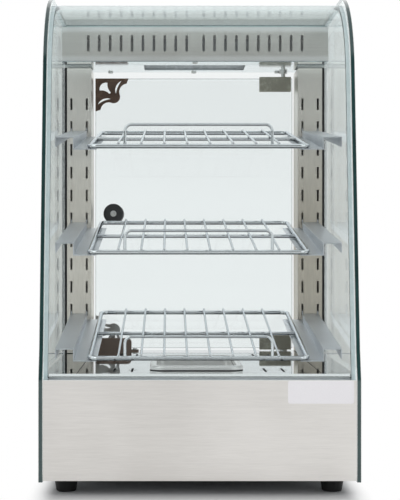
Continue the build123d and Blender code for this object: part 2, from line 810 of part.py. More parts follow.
# Dark seals beside and above both posts
seal_front = post_front + 1.5
seal_depth = 8.0
with BuildPart() as post_seals:
    for side in (-1, 1):
        beside = sorted((side * post_outer, side * inner))
        above = sorted((side * post_inner, side * inner))
        block(*beside, seal_front, seal_front + seal_depth, floor_top, post_top)
        block(*above, seal_front, seal_front + seal_depth, post_top, ceiling)
post_seals.part.label = "post_seals"
export_step(post_seals.part, "parts/post_seals.step")


def bracket_height(row):
    """Top of the bracket's flange where it meets the post."""
    return floor_top + slot_base + row * slot_pitch + hook_rise


# Brackets: lip, flange, web and inward seat, with hooks behind the post face
reach = post_front - bracket_front
flange_slope = bracket_drop / reach
seat_slope = seat_drop / reach
half_sheet = sheet / 2
hook_near = post_front + sheet + 0.3
hook_far = post_front + 4
hook_drop = 4.0
hook_crown = 3.5
for row, level in zip(bracket_slots, level_names):
    top = bracket_height(row)
    slot_floor = top - hook_rise
    for side, word in ((-1, "left"), (1, "right")):
        name = f"bracket_{level}_{word}"
        with BuildPart() as bracket:
            rear = post_front - hair
            for x, height_rear, height_front in (
                (outer_slot, web_rear, bracket_lip),
                (inner_slot, web_rear, bracket_lip + (seat_drop - bracket_drop) / 3),
            ):
                with BuildSketch(Plane.YZ.offset(side * x - half_sheet)):
                    with BuildLine():
                        Polyline(
                            (at(bracket_front), top - bracket_drop),
                            (at(rear), top),
                            (at(rear), top + hook_crown),
                            (at(hook_far), top + hook_crown),
                            (at(hook_far), slot_floor - hook_drop),
                            (at(hook_near), slot_floor - hook_drop),
                            (at(hook_near), slot_floor + hair),
                            (at(rear), slot_floor + hair),
                            (at(rear), top - height_rear),
                            (at(bracket_front), top - bracket_drop - height_front),
                            (at(bracket_front), top - bracket_drop),
                        )
                    make_face()
                extrude(amount=sheet)
            for x_in, x_out, start, slope in (
                (inner_slot - half_sheet, outer_slot + half_sheet, top, flange_slope),
                (inner_slot - seat_width, inner_slot + half_sheet, top - web_rear, seat_slope),
            ):
                span = sorted((side * x_in, side * x_out))
                with BuildSketch(Plane.YZ.offset(span[0])):
                    with BuildLine():
                        Polyline(
                            (at(bracket_front), start - slope * reach),
                            (at(rear), start),
                            (at(rear), start - sheet),
                            (at(bracket_front), start - slope * reach - sheet),
                            (at(bracket_front), start - slope * reach),
                        )
                    make_face()
                extrude(amount=span[1] - span[0])
        bracket.part.label = name
        export_step(bracket.part, f"parts/{name}.step")

# Wire shelves: closed frame, middle bar, deck wires on top and a front guard
shelf_rear = post_front + shelf_overhang
shelf_half = post_inner - shelf_side_gap - frame_wire / 2
wire_count = 2 * int(shelf_half / wire_pitch)
deck_half = wire_pitch * (wire_count - 1) / 2
guard_half = shelf_half - guard_inset
rest_gap = 0.3
for row, level in zip(bracket_slots, level_names):
    name = f"shelf_{level}"
    seat_rear = bracket_height(row) - web_rear
    slope = seat_slope
    front_height = seat_rear - slope * (post_front - shelf_front) + frame_wire / 2 + rest_gap
    deck = Plane(
        origin=(0, at(shelf_front), front_height),
        x_dir=(1, 0, 0),
        z_dir=(0, -slope, 1),
    )
    run = (shelf_rear - shelf_front) * (1 + slope**2) ** 0.5
    deck_middle = Plane(origin=deck.from_local_coords((0, run / 2, 0)), x_dir=deck.x_dir, z_dir=deck.z_dir)
    lift = (frame_wire + deck_wire) / 2 - 0.4
    with BuildPart() as shelf:
        with BuildSketch(deck_middle, mode=Mode.PRIVATE) as frame:
            RectangleRounded(2 * shelf_half, run, corner_radius)
        rim = frame.sketch.faces()[0].outer_wire()
        with BuildSketch(Plane(origin=rim @ 0, z_dir=rim % 0)):
            Circle(frame_wire / 2)
        sweep(path=rim)
        with Locations(Location(deck_middle.origin, (0, 90, 0))):
            Cylinder(cross_wire / 2, 2 * shelf_half)
        for index in range(wire_count):
            x = -deck_half + index * wire_pitch
            start = deck.from_local_coords((x, -1, lift))
            with BuildSketch(Plane(origin=start, x_dir=(1, 0, 0), z_dir=deck.y_dir)):
                Circle(deck_wire / 2)
            extrude(amount=run + 1 + wire_tip)
        with BuildLine(Plane.XZ.offset(-at(shelf_front))) as hoop:
            FilletPolyline(
                (-guard_half, front_height),
                (-guard_half, front_height + guard_height),
                (guard_half, front_height + guard_height),
                (guard_half, front_height),
                radius=corner_radius - 1,
            )
        with BuildSketch(facing_up(-guard_half, shelf_front, front_height)):
            Circle(guard_wire / 2)
        sweep(path=hoop.line)
    shelf.part.label = name
    export_step(shelf.part, f"parts/{name}.step")

# Canopy header: front face with two groups of generic upright slots, and two flanges
bar_height = 22.0
bar_width = 3.6
bar_pitch = 14.6
bar_count = 10
bar_group_x = 77.0
header_lip = 16.0
header_screw_depth = canopy_front + 8
with BuildPart() as canopy_header:
    block(-inner, inner, canopy_front, canopy_front + sheet, ceiling + sheet, header_top)
    block(-inner, inner, canopy_front, canopy_front + header_lap, header_top - sheet, header_top)
    block(-inner, inner, canopy_front, canopy_front + header_lip, ceiling + sheet, ceiling + 2 * sheet)
    face_mid = (ceiling + sheet + header_top) / 2 + 1
    for centre in (-bar_group_x, bar_group_x):
        with BuildSketch(facing_front(centre, canopy_front, face_mid)):
            with GridLocations(bar_pitch, 0, bar_count, 1):
                SlotOverall(bar_height, bar_width, rotation=90)
        extrude(amount=-sheet, mode=Mode.SUBTRACT)
    drill(0, header_screw_depth, ceiling + sheet, "Z", screw_hole, 4 * sheet)
canopy_header.part.label = "canopy_header"
export_step(canopy_header.part, "parts/canopy_header.step")

# Ceiling panel: polished sheet with turned-up ends, a lamp opening and a cable hole
lamp_slot_front = canopy_front + 34
lamp_slot_depth = 54.0
lamp_slot_half = 69.0
lamp_slot_rear = lamp_slot_front + lamp_slot_depth
ceiling_screw_side = pivot_x - 8.6
ceiling_screw_x = (-ceiling_screw_side, 0, ceiling_screw_side)
ceiling_screw_depth = case_depth - 4.2
with BuildPart() as ceiling_panel:
    block(-inner, inner, canopy_front + sheet, rear_wall, ceiling, ceiling + sheet)
    block(-inner, inner, canopy_front, canopy_front + 2 * sheet, ceiling, ceiling + sheet)
    for span in ((-inner, -inner + sheet), (inner - sheet, inner)):
        block(*span, canopy_front + header_lip + hair, rear_wall - lip, ceiling, header_top - sheet)
    block(-lamp_slot_half, lamp_slot_half, lamp_slot_front, lamp_slot_rear,
          ceiling - 1, ceiling + 2 * sheet, mode=Mode.SUBTRACT)
    drill(cable_x, cable_depth, ceiling, "Z", cable_hole, 4 * sheet)
    drill(pivot_x, pivot_depth, ceiling, "Z", pivot_radius + 1 + hair, 4 * sheet)
    drill(0, header_screw_depth, ceiling, "Z", screw_hole, 4 * sheet)
    for x in ceiling_screw_x:
        drill(x, ceiling_screw_depth, ceiling, "Z", screw_hole, 4 * sheet)
ceiling_panel.part.label = "ceiling_panel"
export_step(ceiling_panel.part, "parts/ceiling_panel.step")

# Canopy rear member: wall and two flanges over the door
with BuildPart() as canopy_rear:
    block(-inner, inner, rear_wall, case_depth, ceiling, header_top)
    block(-inner, inner, rear_wall - lip, case_depth, header_top - sheet, header_top)
    block(-inner, inner, rear_wall - lip, case_depth, ceiling + sheet, ceiling + 2 * sheet)
    drill(pivot_x, pivot_depth, ceiling + sheet, "Z", pivot_radius + 1 + hair, 4 * sheet)
    for x in ceiling_screw_x:
        drill(x, ceiling_screw_depth, ceiling + 1.5 * sheet, "Z", screw_hole, 3 * sheet)
canopy_rear.part.label = "canopy_rear"
export_step(canopy_rear.part, "parts/canopy_rear.step")

# Canopy top cover: shallow lid with two rows of cooling slots
lid_front = glass_end + 0.5
lid_top = case_height
lid_slot = (24.0, 3.0)
lid_slot_pitch = (9.0, 34.0)
lid_slot_counts = (16, 2)
with BuildPart() as canopy_top:
    block(-inner, inner, lid_front, case_depth, header_top, lid_top)
    block(-inner + sheet, inner - sheet, lid_front + sheet, rear_wall, header_top - 1, lid_top - sheet,
          mode=Mode.SUBTRACT)
    with BuildSketch(facing_up(0, (lid_front + case_depth) / 2, lid_top)):
        with GridLocations(*lid_slot_pitch, *lid_slot_counts):
            SlotOverall(*lid_slot, rotation=90)
    extrude(amount=-2 * sheet, mode=Mode.SUBTRACT)
canopy_top.part.label = "canopy_top"
export_step(canopy_top.part, "parts/canopy_top.step")

# Lamp reflector: bent sheet arch over the lamp
arch_half = 84.0
arch_front = lamp_slot_front - 3
arch_rear = lamp_slot_rear + 3
arch_batter = 12.0
arch_fold = 0.6
arch_foot = ceiling + sheet
arch_under = ceiling + 36
front_tab = lamp_slot_front - 10
rear_tab = lamp_slot_rear + 8
with BuildPart() as lamp_reflector:
    with BuildSketch(Plane.YZ.offset(-arch_half)):
        with BuildLine():
            Polyline(
                (at(front_tab), arch_foot),
                (at(arch_front), arch_foot),
                (at(arch_front + arch_batter), arch_under),
                (at(arch_rear - arch_batter), arch_under),
                (at(arch_rear), arch_foot),
                (at(rear_tab), arch_foot),
                (at(rear_tab), arch_foot + thin_sheet),
                (at(arch_rear + arch_fold), arch_foot + thin_sheet),
                (at(arch_rear - arch_batter + arch_fold), arch_under + thin_sheet),
                (at(arch_front + arch_batter - arch_fold), arch_under + thin_sheet),
                (at(arch_front - arch_fold), arch_foot + thin_sheet),
                (at(front_tab), arch_foot + thin_sheet),
                (at(front_tab), arch_foot),
            )
        make_face()
    extrude(amount=2 * arch_half)
lamp_reflector.part.label = "lamp_reflector"
export_step(lamp_reflector.part, "parts/lamp_reflector.step")

# Lamp holders, one at each end of the tube
tube_radius = 5.0
cap_radius = 4.0
with BuildPart() as lamp_holders:
    for side in (-1, 1):
        span = sorted((side * holder_x, side * (holder_x + holder_width)))
        block(*span, lamp_depth - 8, lamp_depth + 8, ceiling + sheet, ceiling + 28)
        drill(side * (holder_x + 1), lamp_depth, lamp_height, "X", cap_radius + hair, 4)
lamp_holders.part.label = "lamp_holders"
export_step(lamp_holders.part, "parts/lamp_holders.step")

# Lamp: glass tube with a cap at each end
with BuildPart() as lamp_tube:
    drill(0, lamp_depth, lamp_height, "X", tube_radius, 2 * holder_x - 12, mode=Mode.ADD)
    drill(0, lamp_depth, lamp_height, "X", cap_radius, 2 * holder_x + 4, mode=Mode.ADD)
lamp_tube.part.label = "lamp_tube"
export_step(lamp_tube.part, "parts/lamp_tube.step")

# Door glass with a hole for the knob
web_top = door_top - hinge_web
web_bottom = door_bottom + hinge_web
knob_x = -door_half + knob_edge
knob_z = floor_top + knob_height
knob_hole = 4.0
with BuildPart() as door_glass:
    block(-door_half, door_half, door_front, door_rear, web_bottom, web_top)
    chamfer(door_glass.faces().filter_by(Axis.Y).edges(), edge_polish)
    drill(knob_x, door_front, knob_z, "Y", knob_hole, 4 * glass)
door_glass.part.label = "door_glass"
export_step(door_glass.part, "parts/door_glass.step")

# Hinge plates: U-shaped clamps over the top and bottom edges of the glass
plate_left = pivot_x - 33.5
plate_right = plate_left + hinge_plate[0]
plate_screws = (plate_left + 8, plate_right - 8)
plate_screw_drop = 11.0
with BuildPart() as hinge_plates:
    for low, high, edge in (
        (door_top - hinge_plate[1], door_top, web_top),
        (door_bottom, door_bottom + hinge_plate[1], web_bottom),
    ):
        web_span = sorted((edge, high if edge == web_top else low))
        block(plate_left, plate_right, door_front - clamp, door_front, low, high)
        block(plate_left, plate_right, door_rear, door_rear + clamp, low, high)
        block(plate_left, plate_right, door_front - clamp, door_rear + clamp, *web_span)
        drill(pivot_x, pivot_depth, (web_span[0] + web_span[1]) / 2, "Z", pivot_radius + 0.02, 6)
hinge_plates.part.label = "hinge_plates"
export_step(hinge_plates.part, "parts/hinge_plates.step")

# Hinge pins standing out of both clamps
pin_reach = 7.0
with BuildPart() as hinge_pins:
    drill(pivot_x, pivot_depth, (web_top + ceiling + pin_reach + hair) / 2, "Z", pivot_radius,
          ceiling + pin_reach - web_top - hair, mode=Mode.ADD)
    drill(pivot_x, pivot_depth, (web_bottom + floor_top - pin_reach - hair) / 2, "Z", pivot_radius,
          web_bottom - floor_top + pin_reach - hair, mode=Mode.ADD)
hinge_pins.part.label = "hinge_pins"
export_step(hinge_pins.part, "parts/hinge_pins.step")

# Pivot bushes: flanged, one in the ceiling and one in the floor
bush_radius = pivot_radius + 1
bush_flange = 5.5
upper_flange = 3.0
lower_flange = 1.0
with BuildPart() as pivot_bushes:
    drill(pivot_x, pivot_depth, ceiling + pin_reach / 2, "Z", bush_radius, pin_reach, mode=Mode.ADD)
    drill(pivot_x, pivot_depth, ceiling - upper_flange / 2, "Z", bush_flange, upper_flange, mode=Mode.ADD)
    drill(pivot_x, pivot_depth, floor_top - pin_reach / 2, "Z", bush_radius, pin_reach, mode=Mode.ADD)
    drill(pivot_x, pivot_depth, floor_top + lower_flange / 2, "Z", bush_flange, lower_flange, mode=Mode.ADD)
    drill(pivot_x, pivot_depth, ceiling, "Z", pivot_radius + running, 40)
    drill(pivot_x, pivot_depth, floor_top, "Z", pivot_radius + running, 40)
pivot_bushes.part.label = "pivot_bushes"
export_step(pivot_bushes.part, "parts/pivot_bushes.step")

# Door knob: round grip outside, matching disc inside
neck_radius = 8.0
neck_length = 6.0
disc_depth = 7.0
knob_screw = 2.0
with BuildPart() as door_knob:
    with BuildSketch(facing_back(knob_x, door_rear, knob_z)):
        Circle(neck_radius)
    extrude(amount=neck_length + 1)
    with BuildSketch(facing_back(knob_x, door_rear + neck_length, knob_z)):
        Circle(knob_radius)
    extrude(amount=case_depth + knob_reach - door_rear - neck_length)
    fillet(door_knob.faces().sort_by(Axis.Y)[-1].edges(), 3)
    with BuildSketch(facing_front(knob_x, door_front, knob_z)):
        Circle(knob_radius)
    extrude(amount=disc_depth)
    fillet(door_knob.faces().sort_by(Axis.Y)[0].edges(), 2)
    drill(knob_x, door_front - 4, knob_z, "Y", knob_screw + hair, 30)
door_knob.part.label = "door_knob"
export_step(door_knob.part, "parts/door_knob.step")

# Door screws: one through the knob, two in the outer leaf of each hinge plate
knob_screw_head = (4.2, 1.6)
knob_screw_length = 17.0
plate_screw_head = (3.4, 1.6)
hex_socket = 1.7
with BuildPart() as door_screws:
    screw(facing_front(knob_x, door_front - disc_depth, knob_z), *knob_screw_head, knob_screw,
          knob_screw_length)
    for x in plate_screws:
        for height in (door_top - plate_screw_drop, door_bottom + plate_screw_drop):
            with BuildSketch(facing_back(x, door_rear + clamp, height)):
                Circle(plate_screw_head[0])
                RegularPolygon(hex_socket, 6, mode=Mode.SUBTRACT)
            extrude(amount=plate_screw_head[1])
door_screws.part.label = "door_screws"
export_step(door_screws.part, "parts/door_screws.step")


def corner_outline():
    """Scrolled corner plate about its corner: lobed edge, fan and two crescents."""
    size = corner_size
    bay = (size - 1.5, 18.5)
    hollow = 11.3
    lobe = 25.5
    bulge = 9.3
    with BuildLine() as edge:
        Line((0, 0), (size, 0))
        Line((size, 0), (size - 2.6, 7.3))
        ThreePointArc((size - 2.6, 7.3), (bay[0] - hollow * 0.8, bay[1] - hollow * 0.6), (34.0, 22.0))
        ThreePointArc((34.0, 22.0), (lobe + bulge * 0.71, lobe + bulge * 0.71), (22.0, 34.0))
        ThreePointArc((22.0, 34.0), (bay[1] - hollow * 0.6, bay[0] - hollow * 0.8), (7.3, size - 2.6))
        Line((7.3, size - 2.6), (0, size))
        Line((0, size), (0, 0))
    make_face(edge.edges())
    with BuildLine() as fan:
        ThreePointArc((17, 6), (8.4, 8.4), (6, 17))
        ThreePointArc((6, 17), (13, 17.4), (18.4, 20.4))
        ThreePointArc((18.4, 20.4), (20.8, 20.8), (20.4, 18.4))
        ThreePointArc((20.4, 18.4), (17.4, 13), (17, 6))
    make_face(fan.edges(), mode=Mode.SUBTRACT)
    with BuildLine() as crescent:
        ThreePointArc((36.6, 3.4), (28.9, 11.2), (28.8, 21.4))
        ThreePointArc((28.8, 21.4), (31.3, 12.4), (36.6, 3.4))
    make_face(crescent.edges(), mode=Mode.SUBTRACT)
    with BuildLine() as twin:
        ThreePointArc((3.4, 36.6), (11.2, 28.9), (21.4, 28.8))
        ThreePointArc((21.4, 28.8), (12.4, 31.3), (3.4, 36.6))
    make_face(twin.edges(), mode=Mode.SUBTRACT)


# Ornamental corner plates on the inner face of the door glass
plate_face = door_front - corner_thickness
corner_top = Plane(origin=(-door_half, at(door_front), web_top), x_dir=(1, 0, 0), z_dir=(0, 1, 0))
corner_low = Plane(origin=(-door_half, at(door_front), web_bottom), x_dir=(1, 0, 0), z_dir=(0, -1, 0))
with BuildPart() as corner_plates:
    with BuildSketch(corner_top):
        corner_outline()
    extrude(amount=-corner_thickness)
    with BuildSketch(corner_low):
        corner_outline()
    extrude(amount=corner_thickness)
corner_plates.part.label = "corner_plates"
export_step(corner_plates.part, "parts/corner_plates.step")

# Magnetic catch on the floor inside the door, with a screw tab
catch_left = -door_half
catch_right = catch_left + 51
catch_rear = plate_face - 0.4
catch_depth = 13.0
catch_height = 18.0
catch_corner = 6.0
tab_reach = 10.0
tab_thickness = 2.0
tab_screw_x = catch_right + 5
tab_screw_depth = catch_rear - 7
with BuildPart() as magnetic_catch:
    block(catch_left, catch_right, catch_rear - catch_depth, catch_rear, floor_top,
          floor_top + catch_height)
    fillet(magnetic_catch.edges().filter_by(Axis.Y).group_by(Axis.Z)[-1], catch_corner)
    block(catch_right - 2, catch_right + tab_reach, catch_rear - catch_depth, catch_rear - 1, floor_top,
          floor_top + tab_thickness)
    drill(tab_screw_x, tab_screw_depth, floor_top + 1, "Z", screw_hole, 4)
magnetic_catch.part.label = "magnetic_catch"
export_step(magnetic_catch.part, "parts/magnetic_catch.step")

# Panel screws: bottom cover, rear panel, its fittings, ceiling and catch
panel_screw = (3.2, 1.8, 1.6, 7.0)
ceiling_screw = (3.4, 1.8, 1.6, 7.0)
small_screw = (2.8, 1.4, 1.5, 8.0)
tab_screw = (3.2, 1.8, 1.5, 1.9)
with BuildPart() as panel_screws:
    for x in (-lip_middle, lip_middle):
        for depth in cover_screw_depths:
            screw(facing_down(x, depth, foot_height), *panel_screw)
        for height in panel_screw_heights:
            screw(facing_back(x, case_depth, height), *panel_screw)
    for x in dial_screws:
        screw(facing_back(x, case_depth, fitting_height), *small_screw)
    for x in inlet_screws:
        screw(facing_back(x, case_depth + inlet_lip, fitting_height), *small_screw)
    for x in ceiling_screw_x:
        screw(facing_down(x, ceiling_screw_depth, ceiling), *ceiling_screw)
    screw(facing_down(0, header_screw_depth, ceiling), *ceiling_screw)
    screw(facing_up(tab_screw_x, tab_screw_depth, floor_top + tab_thickness), *tab_screw)
panel_screws.part.label = "panel_screws"
export_step(panel_screws.part, "parts/panel_screws.step")

# Blank label on the front of the base
label_size = (74.5, 26.0)
label_thickness = 0.3
label_margins = (3.3, 0.6)
label_x = inner - label_margins[0] - label_size[0] / 2
label_z = ledge_top - label_margins[1] - label_size[1] / 2
with BuildPart() as label:
    with BuildSketch(facing_front(label_x, panel_inset, label_z)):
        RectangleRounded(*label_size, 2.5)
    extrude(amount=label_thickness)
label.part.label = "label"
export_step(label.part, "parts/label.step")
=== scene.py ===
"""Looks of the countertop heated display case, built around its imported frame. Everything is in metres."""
import math

import bpy
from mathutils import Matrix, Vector


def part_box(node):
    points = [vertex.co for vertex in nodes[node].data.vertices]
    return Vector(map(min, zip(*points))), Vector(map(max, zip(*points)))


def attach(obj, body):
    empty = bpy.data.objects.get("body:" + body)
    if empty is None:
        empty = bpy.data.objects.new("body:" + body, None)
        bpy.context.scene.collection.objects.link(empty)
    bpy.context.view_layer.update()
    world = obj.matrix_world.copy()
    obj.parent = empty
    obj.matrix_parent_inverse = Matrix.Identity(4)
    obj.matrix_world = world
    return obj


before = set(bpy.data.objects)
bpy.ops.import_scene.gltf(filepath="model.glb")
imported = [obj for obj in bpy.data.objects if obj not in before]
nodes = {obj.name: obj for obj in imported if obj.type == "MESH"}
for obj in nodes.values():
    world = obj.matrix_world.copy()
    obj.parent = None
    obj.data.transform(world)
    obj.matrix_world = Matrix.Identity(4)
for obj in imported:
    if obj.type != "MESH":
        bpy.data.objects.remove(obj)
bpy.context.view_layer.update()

# Facts of the case that the looks depend on
MM = 0.001
glass_low, glass_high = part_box("front_glass")
header_low, header_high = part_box("canopy_header")
post_low, post_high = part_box("post_right")
side_low, side_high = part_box("side_glass_right")
knob_low, knob_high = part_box("thermostat_knob")
floor_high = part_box("floor_plate")[1]
strip_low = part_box("floor_strip_right")[0]
panel_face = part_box("rear_panel")[1].y
door_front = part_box("door_glass")[0].y
floor_top = floor_high.z
ledge_top = glass_low.z
case_half = side_high.x
half_depth = (side_high.y - side_low.y) / 2
case_middle = Vector((0.0, 0.0, 300.0)) * MM

# Rear of the foot of the front glass, and the face of the riser behind it
GLASS_FOOT = -190.3 * MM
RISER_FACE = -188.9 * MM

# Wires of a shelf, whose deck rises to the rear
FRAME_WIRE = 5.6 * MM
CROSS_WIRE = 4.6 * MM
WIRE_PITCH = 27.0 * MM
DECK_WIRES = 8
GUARD_INSET = 42.0 * MM
SHELF_RUN = 300.0 * MM
SHELF_SLOPE = 0.135
WELD = 2.1 * MM

# A rocker: its pivot, how far its face and the middle of each half lie from there,
# how the whole rocker leans at rest, and how much each half slopes more than that
ROCKER_PIVOT = 189.5 * MM
ROCKER_FACE = 5.68 * MM
ROCKER_HALF = 4.2 * MM
ROCKER_TILT = math.radians(-9.0)
ROCKER_DISH = math.radians(8.3)

LEVELS = ("low", "middle", "top")


# Shader arithmetic


class Signal:
    """A number that varies over a surface. Arithmetic on it adds the Math nodes it needs."""

    def __init__(self, shading, socket):
        self.shading = shading
        self.socket = socket

    def math(self, operation, *others):
        node = self.shading.node("Math", {"operation": operation})
        for slot, value in enumerate((self, *others)):
            self.shading.feed(node.inputs[slot], value)
        return Signal(self.shading, node.outputs[0])

    def __add__(self, other):
        return self.math("ADD", other)

    def __radd__(self, other):
        return self.math("ADD", other)

    def __sub__(self, other):
        return self.math("SUBTRACT", other)

    def __rsub__(self, other):
        return (self * -1).math("ADD", other)

    def __mul__(self, other):
        return self.math("MULTIPLY", other)

    def __pow__(self, other):
        return self.math("POWER", other)

    def __abs__(self):
        return self.math("ABSOLUTE")

    def step(self, low, high):
        """0 below low, 1 above high, smooth between."""
        settings = {"interpolation_type": "SMOOTHSTEP"}
        node = self.shading.node("MapRange", settings, {"Value": self, "From Min": low, "From Max": high})
        return Signal(self.shading, node.outputs[0])


class Shading:
    """A node tree that shaders are built in."""

    def __init__(self, tree):
        self.tree = tree

    def feed(self, socket, value):
        """Links a signal or a socket, or sets a plain value."""
        if isinstance(value, Signal):
            self.tree.links.new(value.socket, socket)
        elif isinstance(value, bpy.types.NodeSocket):
            self.tree.links.new(value, socket)
        else:
            socket.default_value = value

    def node(self, kind, settings=None, values=None):
        """A node of one kind; its settings are made first, then its sockets are fed."""
        node = self.tree.nodes.new("ShaderNode" + kind)
        for name, value in (settings or {}).items():
            if name == "stops":
                ramp = node.color_ramp
                ramp.elements.remove(ramp.elements[1])
                ramp.elements[0].position, ramp.elements[0].color = value[0]
                for position, colour in value[1:]:
                    ramp.elements.new(position).color = colour
            else:
                setattr(node, name, value)
        for name, value in (values or {}).items():
            self.feed(node.inputs[name], value)
        return node

    def blend(self, factor, first, second):
        """Mix of two shaders."""
        return self.node("MixShader", None, {0: factor, 1: first.outputs[0], 2: second.outputs[0]})


class Finish(Shading):
    """A node material for one finish of the case."""

    def __init__(self, name):
        self.material = bpy.data.materials.new(name)
        self.material.use_nodes = True
        super().__init__(self.material.node_tree)
        self.shader = self.tree.nodes["Principled BSDF"]
        self.output = self.tree.nodes["Material Output"]
        self.spot = None

    def place(self):
        """Object coordinates, shared by every pattern of the finish."""
        if self.spot is None:
            self.spot = self.node("TexCoord")
        return self.spot.outputs["Object"]

    def axes(self):
        """X, Y and Z of the object coordinates as signals."""
        split = self.node("SeparateXYZ", None, {0: self.place()})
        return [Signal(self, output) for output in split.outputs]

    def facing(self):
        """X, Y and Z of the surface's own normal, in the piece's coordinates."""
        self.place()
        split = self.node("SeparateXYZ", None, {0: self.spot.outputs["Normal"]})
        return [Signal(self, output) for output in split.outputs]

    def noise(self, scale, detail=2.0, roughness=0.5, stretch=(1.0, 1.0, 1.0)):
        """Soft noise from 0 to 1; stretch makes streaks."""
        spot = self.node("Mapping", None, {"Vector": self.place(), "Scale": stretch})
        values = {"Vector": spot.outputs[0], "Scale": scale, "Detail": detail, "Roughness": roughness}
        return Signal(self, self.node("TexNoise", None, values).outputs[0])

    def cells(self, scale):
        """Random grey per cell."""
        node = self.node("TexVoronoi", None, {"Vector": self.place(), "Scale": scale})
        split = self.node("SeparateColor", None, {0: node.outputs["Color"]})
        return Signal(self, split.outputs[0])

    def mix(self, colour_a, colour_b, factor):
        """Colour between two colours."""
        node = self.node("Mix", {"data_type": "RGBA"})
        self.feed(node.inputs["Factor"], factor)
        self.feed(node.inputs[6], colour_a)
        self.feed(node.inputs[7], colour_b)
        return node.outputs[2]

    def bump(self, height, strength, distance):
        """Surface normal raised by a height signal."""
        values = {"Height": height, "Strength": strength, "Distance": distance}
        return self.node("Bump", None, values).outputs[0]

    def paint(self, **sockets):
        """Feeds sockets of the main shader; an underscore in a name stands for a space."""
        for name, value in sockets.items():
            self.feed(self.shader.inputs[name.replace("_", " ")], value)
        return self.material


def rgb(red, green, blue):
    """Colour as a shader takes it."""
    return (red, green, blue, 1.0)


# Finishes

BLACK = rgb(0.02, 0.02, 0.02)


def brushed_steel(name, pale, dark, roughness=0.34, polished_above=None, lit=None):
    """Stainless sheet with a straight brushed grain.

    Where polished_above is given, it is mirror polished above that height.
    Where lit is given, it has painted highlights below the first height and above the second, and soft warm
    stains.
    """
    finish = Finish(name)
    grain = finish.noise(2600.0, 3.0, 0.6, (0.02, 1.0, 1.0))
    streak = finish.noise(240.0, 3.0, 0.6, (0.05, 1.0, 1.0))
    cloud = finish.noise(6.0, 2.0)
    tone = (grain * 0.35 + streak * 0.2 + cloud * 0.8).step(0.45, 0.9)
    colour = finish.mix(dark, pale, tone)
    sheen = roughness - 0.05 + grain * 0.05 + cloud * 0.06
    if lit is not None:
        z = finish.axes()[2]
        below, above = lit
        # Painted highlights: the bands below the first height and above the second are painted pale.
        edges = (1 - z.step(below - 6 * MM, below)) + z.step(above, above + 6 * MM)
        stain = finish.noise(11.0, 1.0, 0.5, (1.0, 1.0, 0.4)).step(0.5, 0.75)
        colour = finish.mix(colour, rgb(0.98, 0.98, 0.96), edges)
        colour = finish.mix(colour, rgb(0.6, 0.56, 0.5), stain * 0.5)
    if polished_above is not None:
        polish = finish.axes()[2].step(polished_above - 0.4 * MM, polished_above - 0.2 * MM)
        colour = finish.mix(colour, rgb(0.84, 0.87, 0.87), polish)
        sheen = sheen * (1 - polish) + polish * 0.04
    normal = finish.bump(grain * 0.8 + streak * 0.2, 0.06, 0.04 * MM)
    return finish.paint(Base_Color=colour, Metallic=1.0, Roughness=sheen, Normal=normal)


def polished_steel(name, colour, roughness, metal=1.0):
    """Mirror sheet with a faint waviness and small rubbing marks."""
    finish = Finish(name)
    wave = finish.noise(9.0, 1.0)
    haze = finish.noise(90.0, 4.0, 0.65)
    return finish.paint(
        Base_Color=finish.mix(rgb(*[c * 0.93 for c in colour]), rgb(*colour), haze),
        Metallic=metal,
        Roughness=roughness + haze.step(0.55, 0.8) * 0.05,
        Normal=finish.bump(wave, 0.05, 0.6 * MM),
    )


def satin_steel(name, pale, dark, roughness, warmth=None, contact_shadow=None):
    """Formed sheet with a soft mill finish.

    Where warmth is given, it turns to that colour on the right side of the case.
    Where the height of a post's foot is given, it is a post: painted shadow below that height and on the
    walls of its slots, and painted light making it paler towards its upper end.
    """
    finish = Finish(name)
    mill = finish.noise(420.0, 3.0, 0.6, (1.0, 1.0, 0.12))
    cloud = finish.noise(14.0, 2.0)
    tone = (mill * 0.5 + cloud * 0.5).step(0.3, 0.7)
    colour = finish.mix(dark, pale, tone)
    x, y, z = finish.axes()
    if warmth is not None:
        warm = finish.mix(rgb(*[c * 0.84 for c in warmth]), rgb(*warmth), tone)
        colour = finish.mix(colour, warm, x.step(-50 * MM, 50 * MM))
    if contact_shadow is not None:
        # Painted light: the post is painted paler towards its upper end.
        top = z.step(300 * MM, 520 * MM)
        colour = finish.mix(colour, rgb(0.95, 0.94, 0.9), top * 0.6)
        # Painted shadow at the post's foot, where it meets the floor.
        colour = finish.mix(BLACK, colour, z.step(contact_shadow, contact_shadow + 0.5 * MM))
        # Painted shade on the walls of the slots, behind the post's face.
        shaded_slot_walls = y.step(post_low.y + 0.15 * MM, post_low.y + 0.3 * MM)
        deep = y.step(post_low.y + 2.5 * MM, post_low.y + 2.6 * MM)
        colour = finish.mix(colour, BLACK, shaded_slot_walls * (1 - deep))
    return finish.paint(
        Base_Color=colour,
        Metallic=1.0,
        Roughness=roughness - 0.04 + mill * 0.08,
        Normal=finish.bump(mill, 0.1, 0.06 * MM),
    )


def tray_steel():
    """Drawn stainless tray, satin all over, with a painted shadow line where its rim meets the floor."""
    finish = Finish("tray_steel")
    z = finish.axes()[2]
    haze = finish.noise(90.0, 4.0, 0.65)
    # Painted shadow line: the lowest millimetre of the rim is painted near black and less metallic.
    above_contact_shadow = z.step(floor_top + 0.9 * MM, floor_top + 1.2 * MM)
    contact_shadow = z.step(floor_top - 0.1 * MM, floor_top) * (1 - above_contact_shadow)
    colour = finish.mix(rgb(0.87, 0.865, 0.85), rgb(0.95, 0.945, 0.93), haze)
    return finish.paint(
        Base_Color=finish.mix(colour, rgb(0.03, 0.03, 0.03), contact_shadow),
        Metallic=0.82 - contact_shadow * 0.7,
        Roughness=0.36 + haze * 0.1,
        Normal=finish.bump(haze, 0.08, 0.1 * MM),
    )


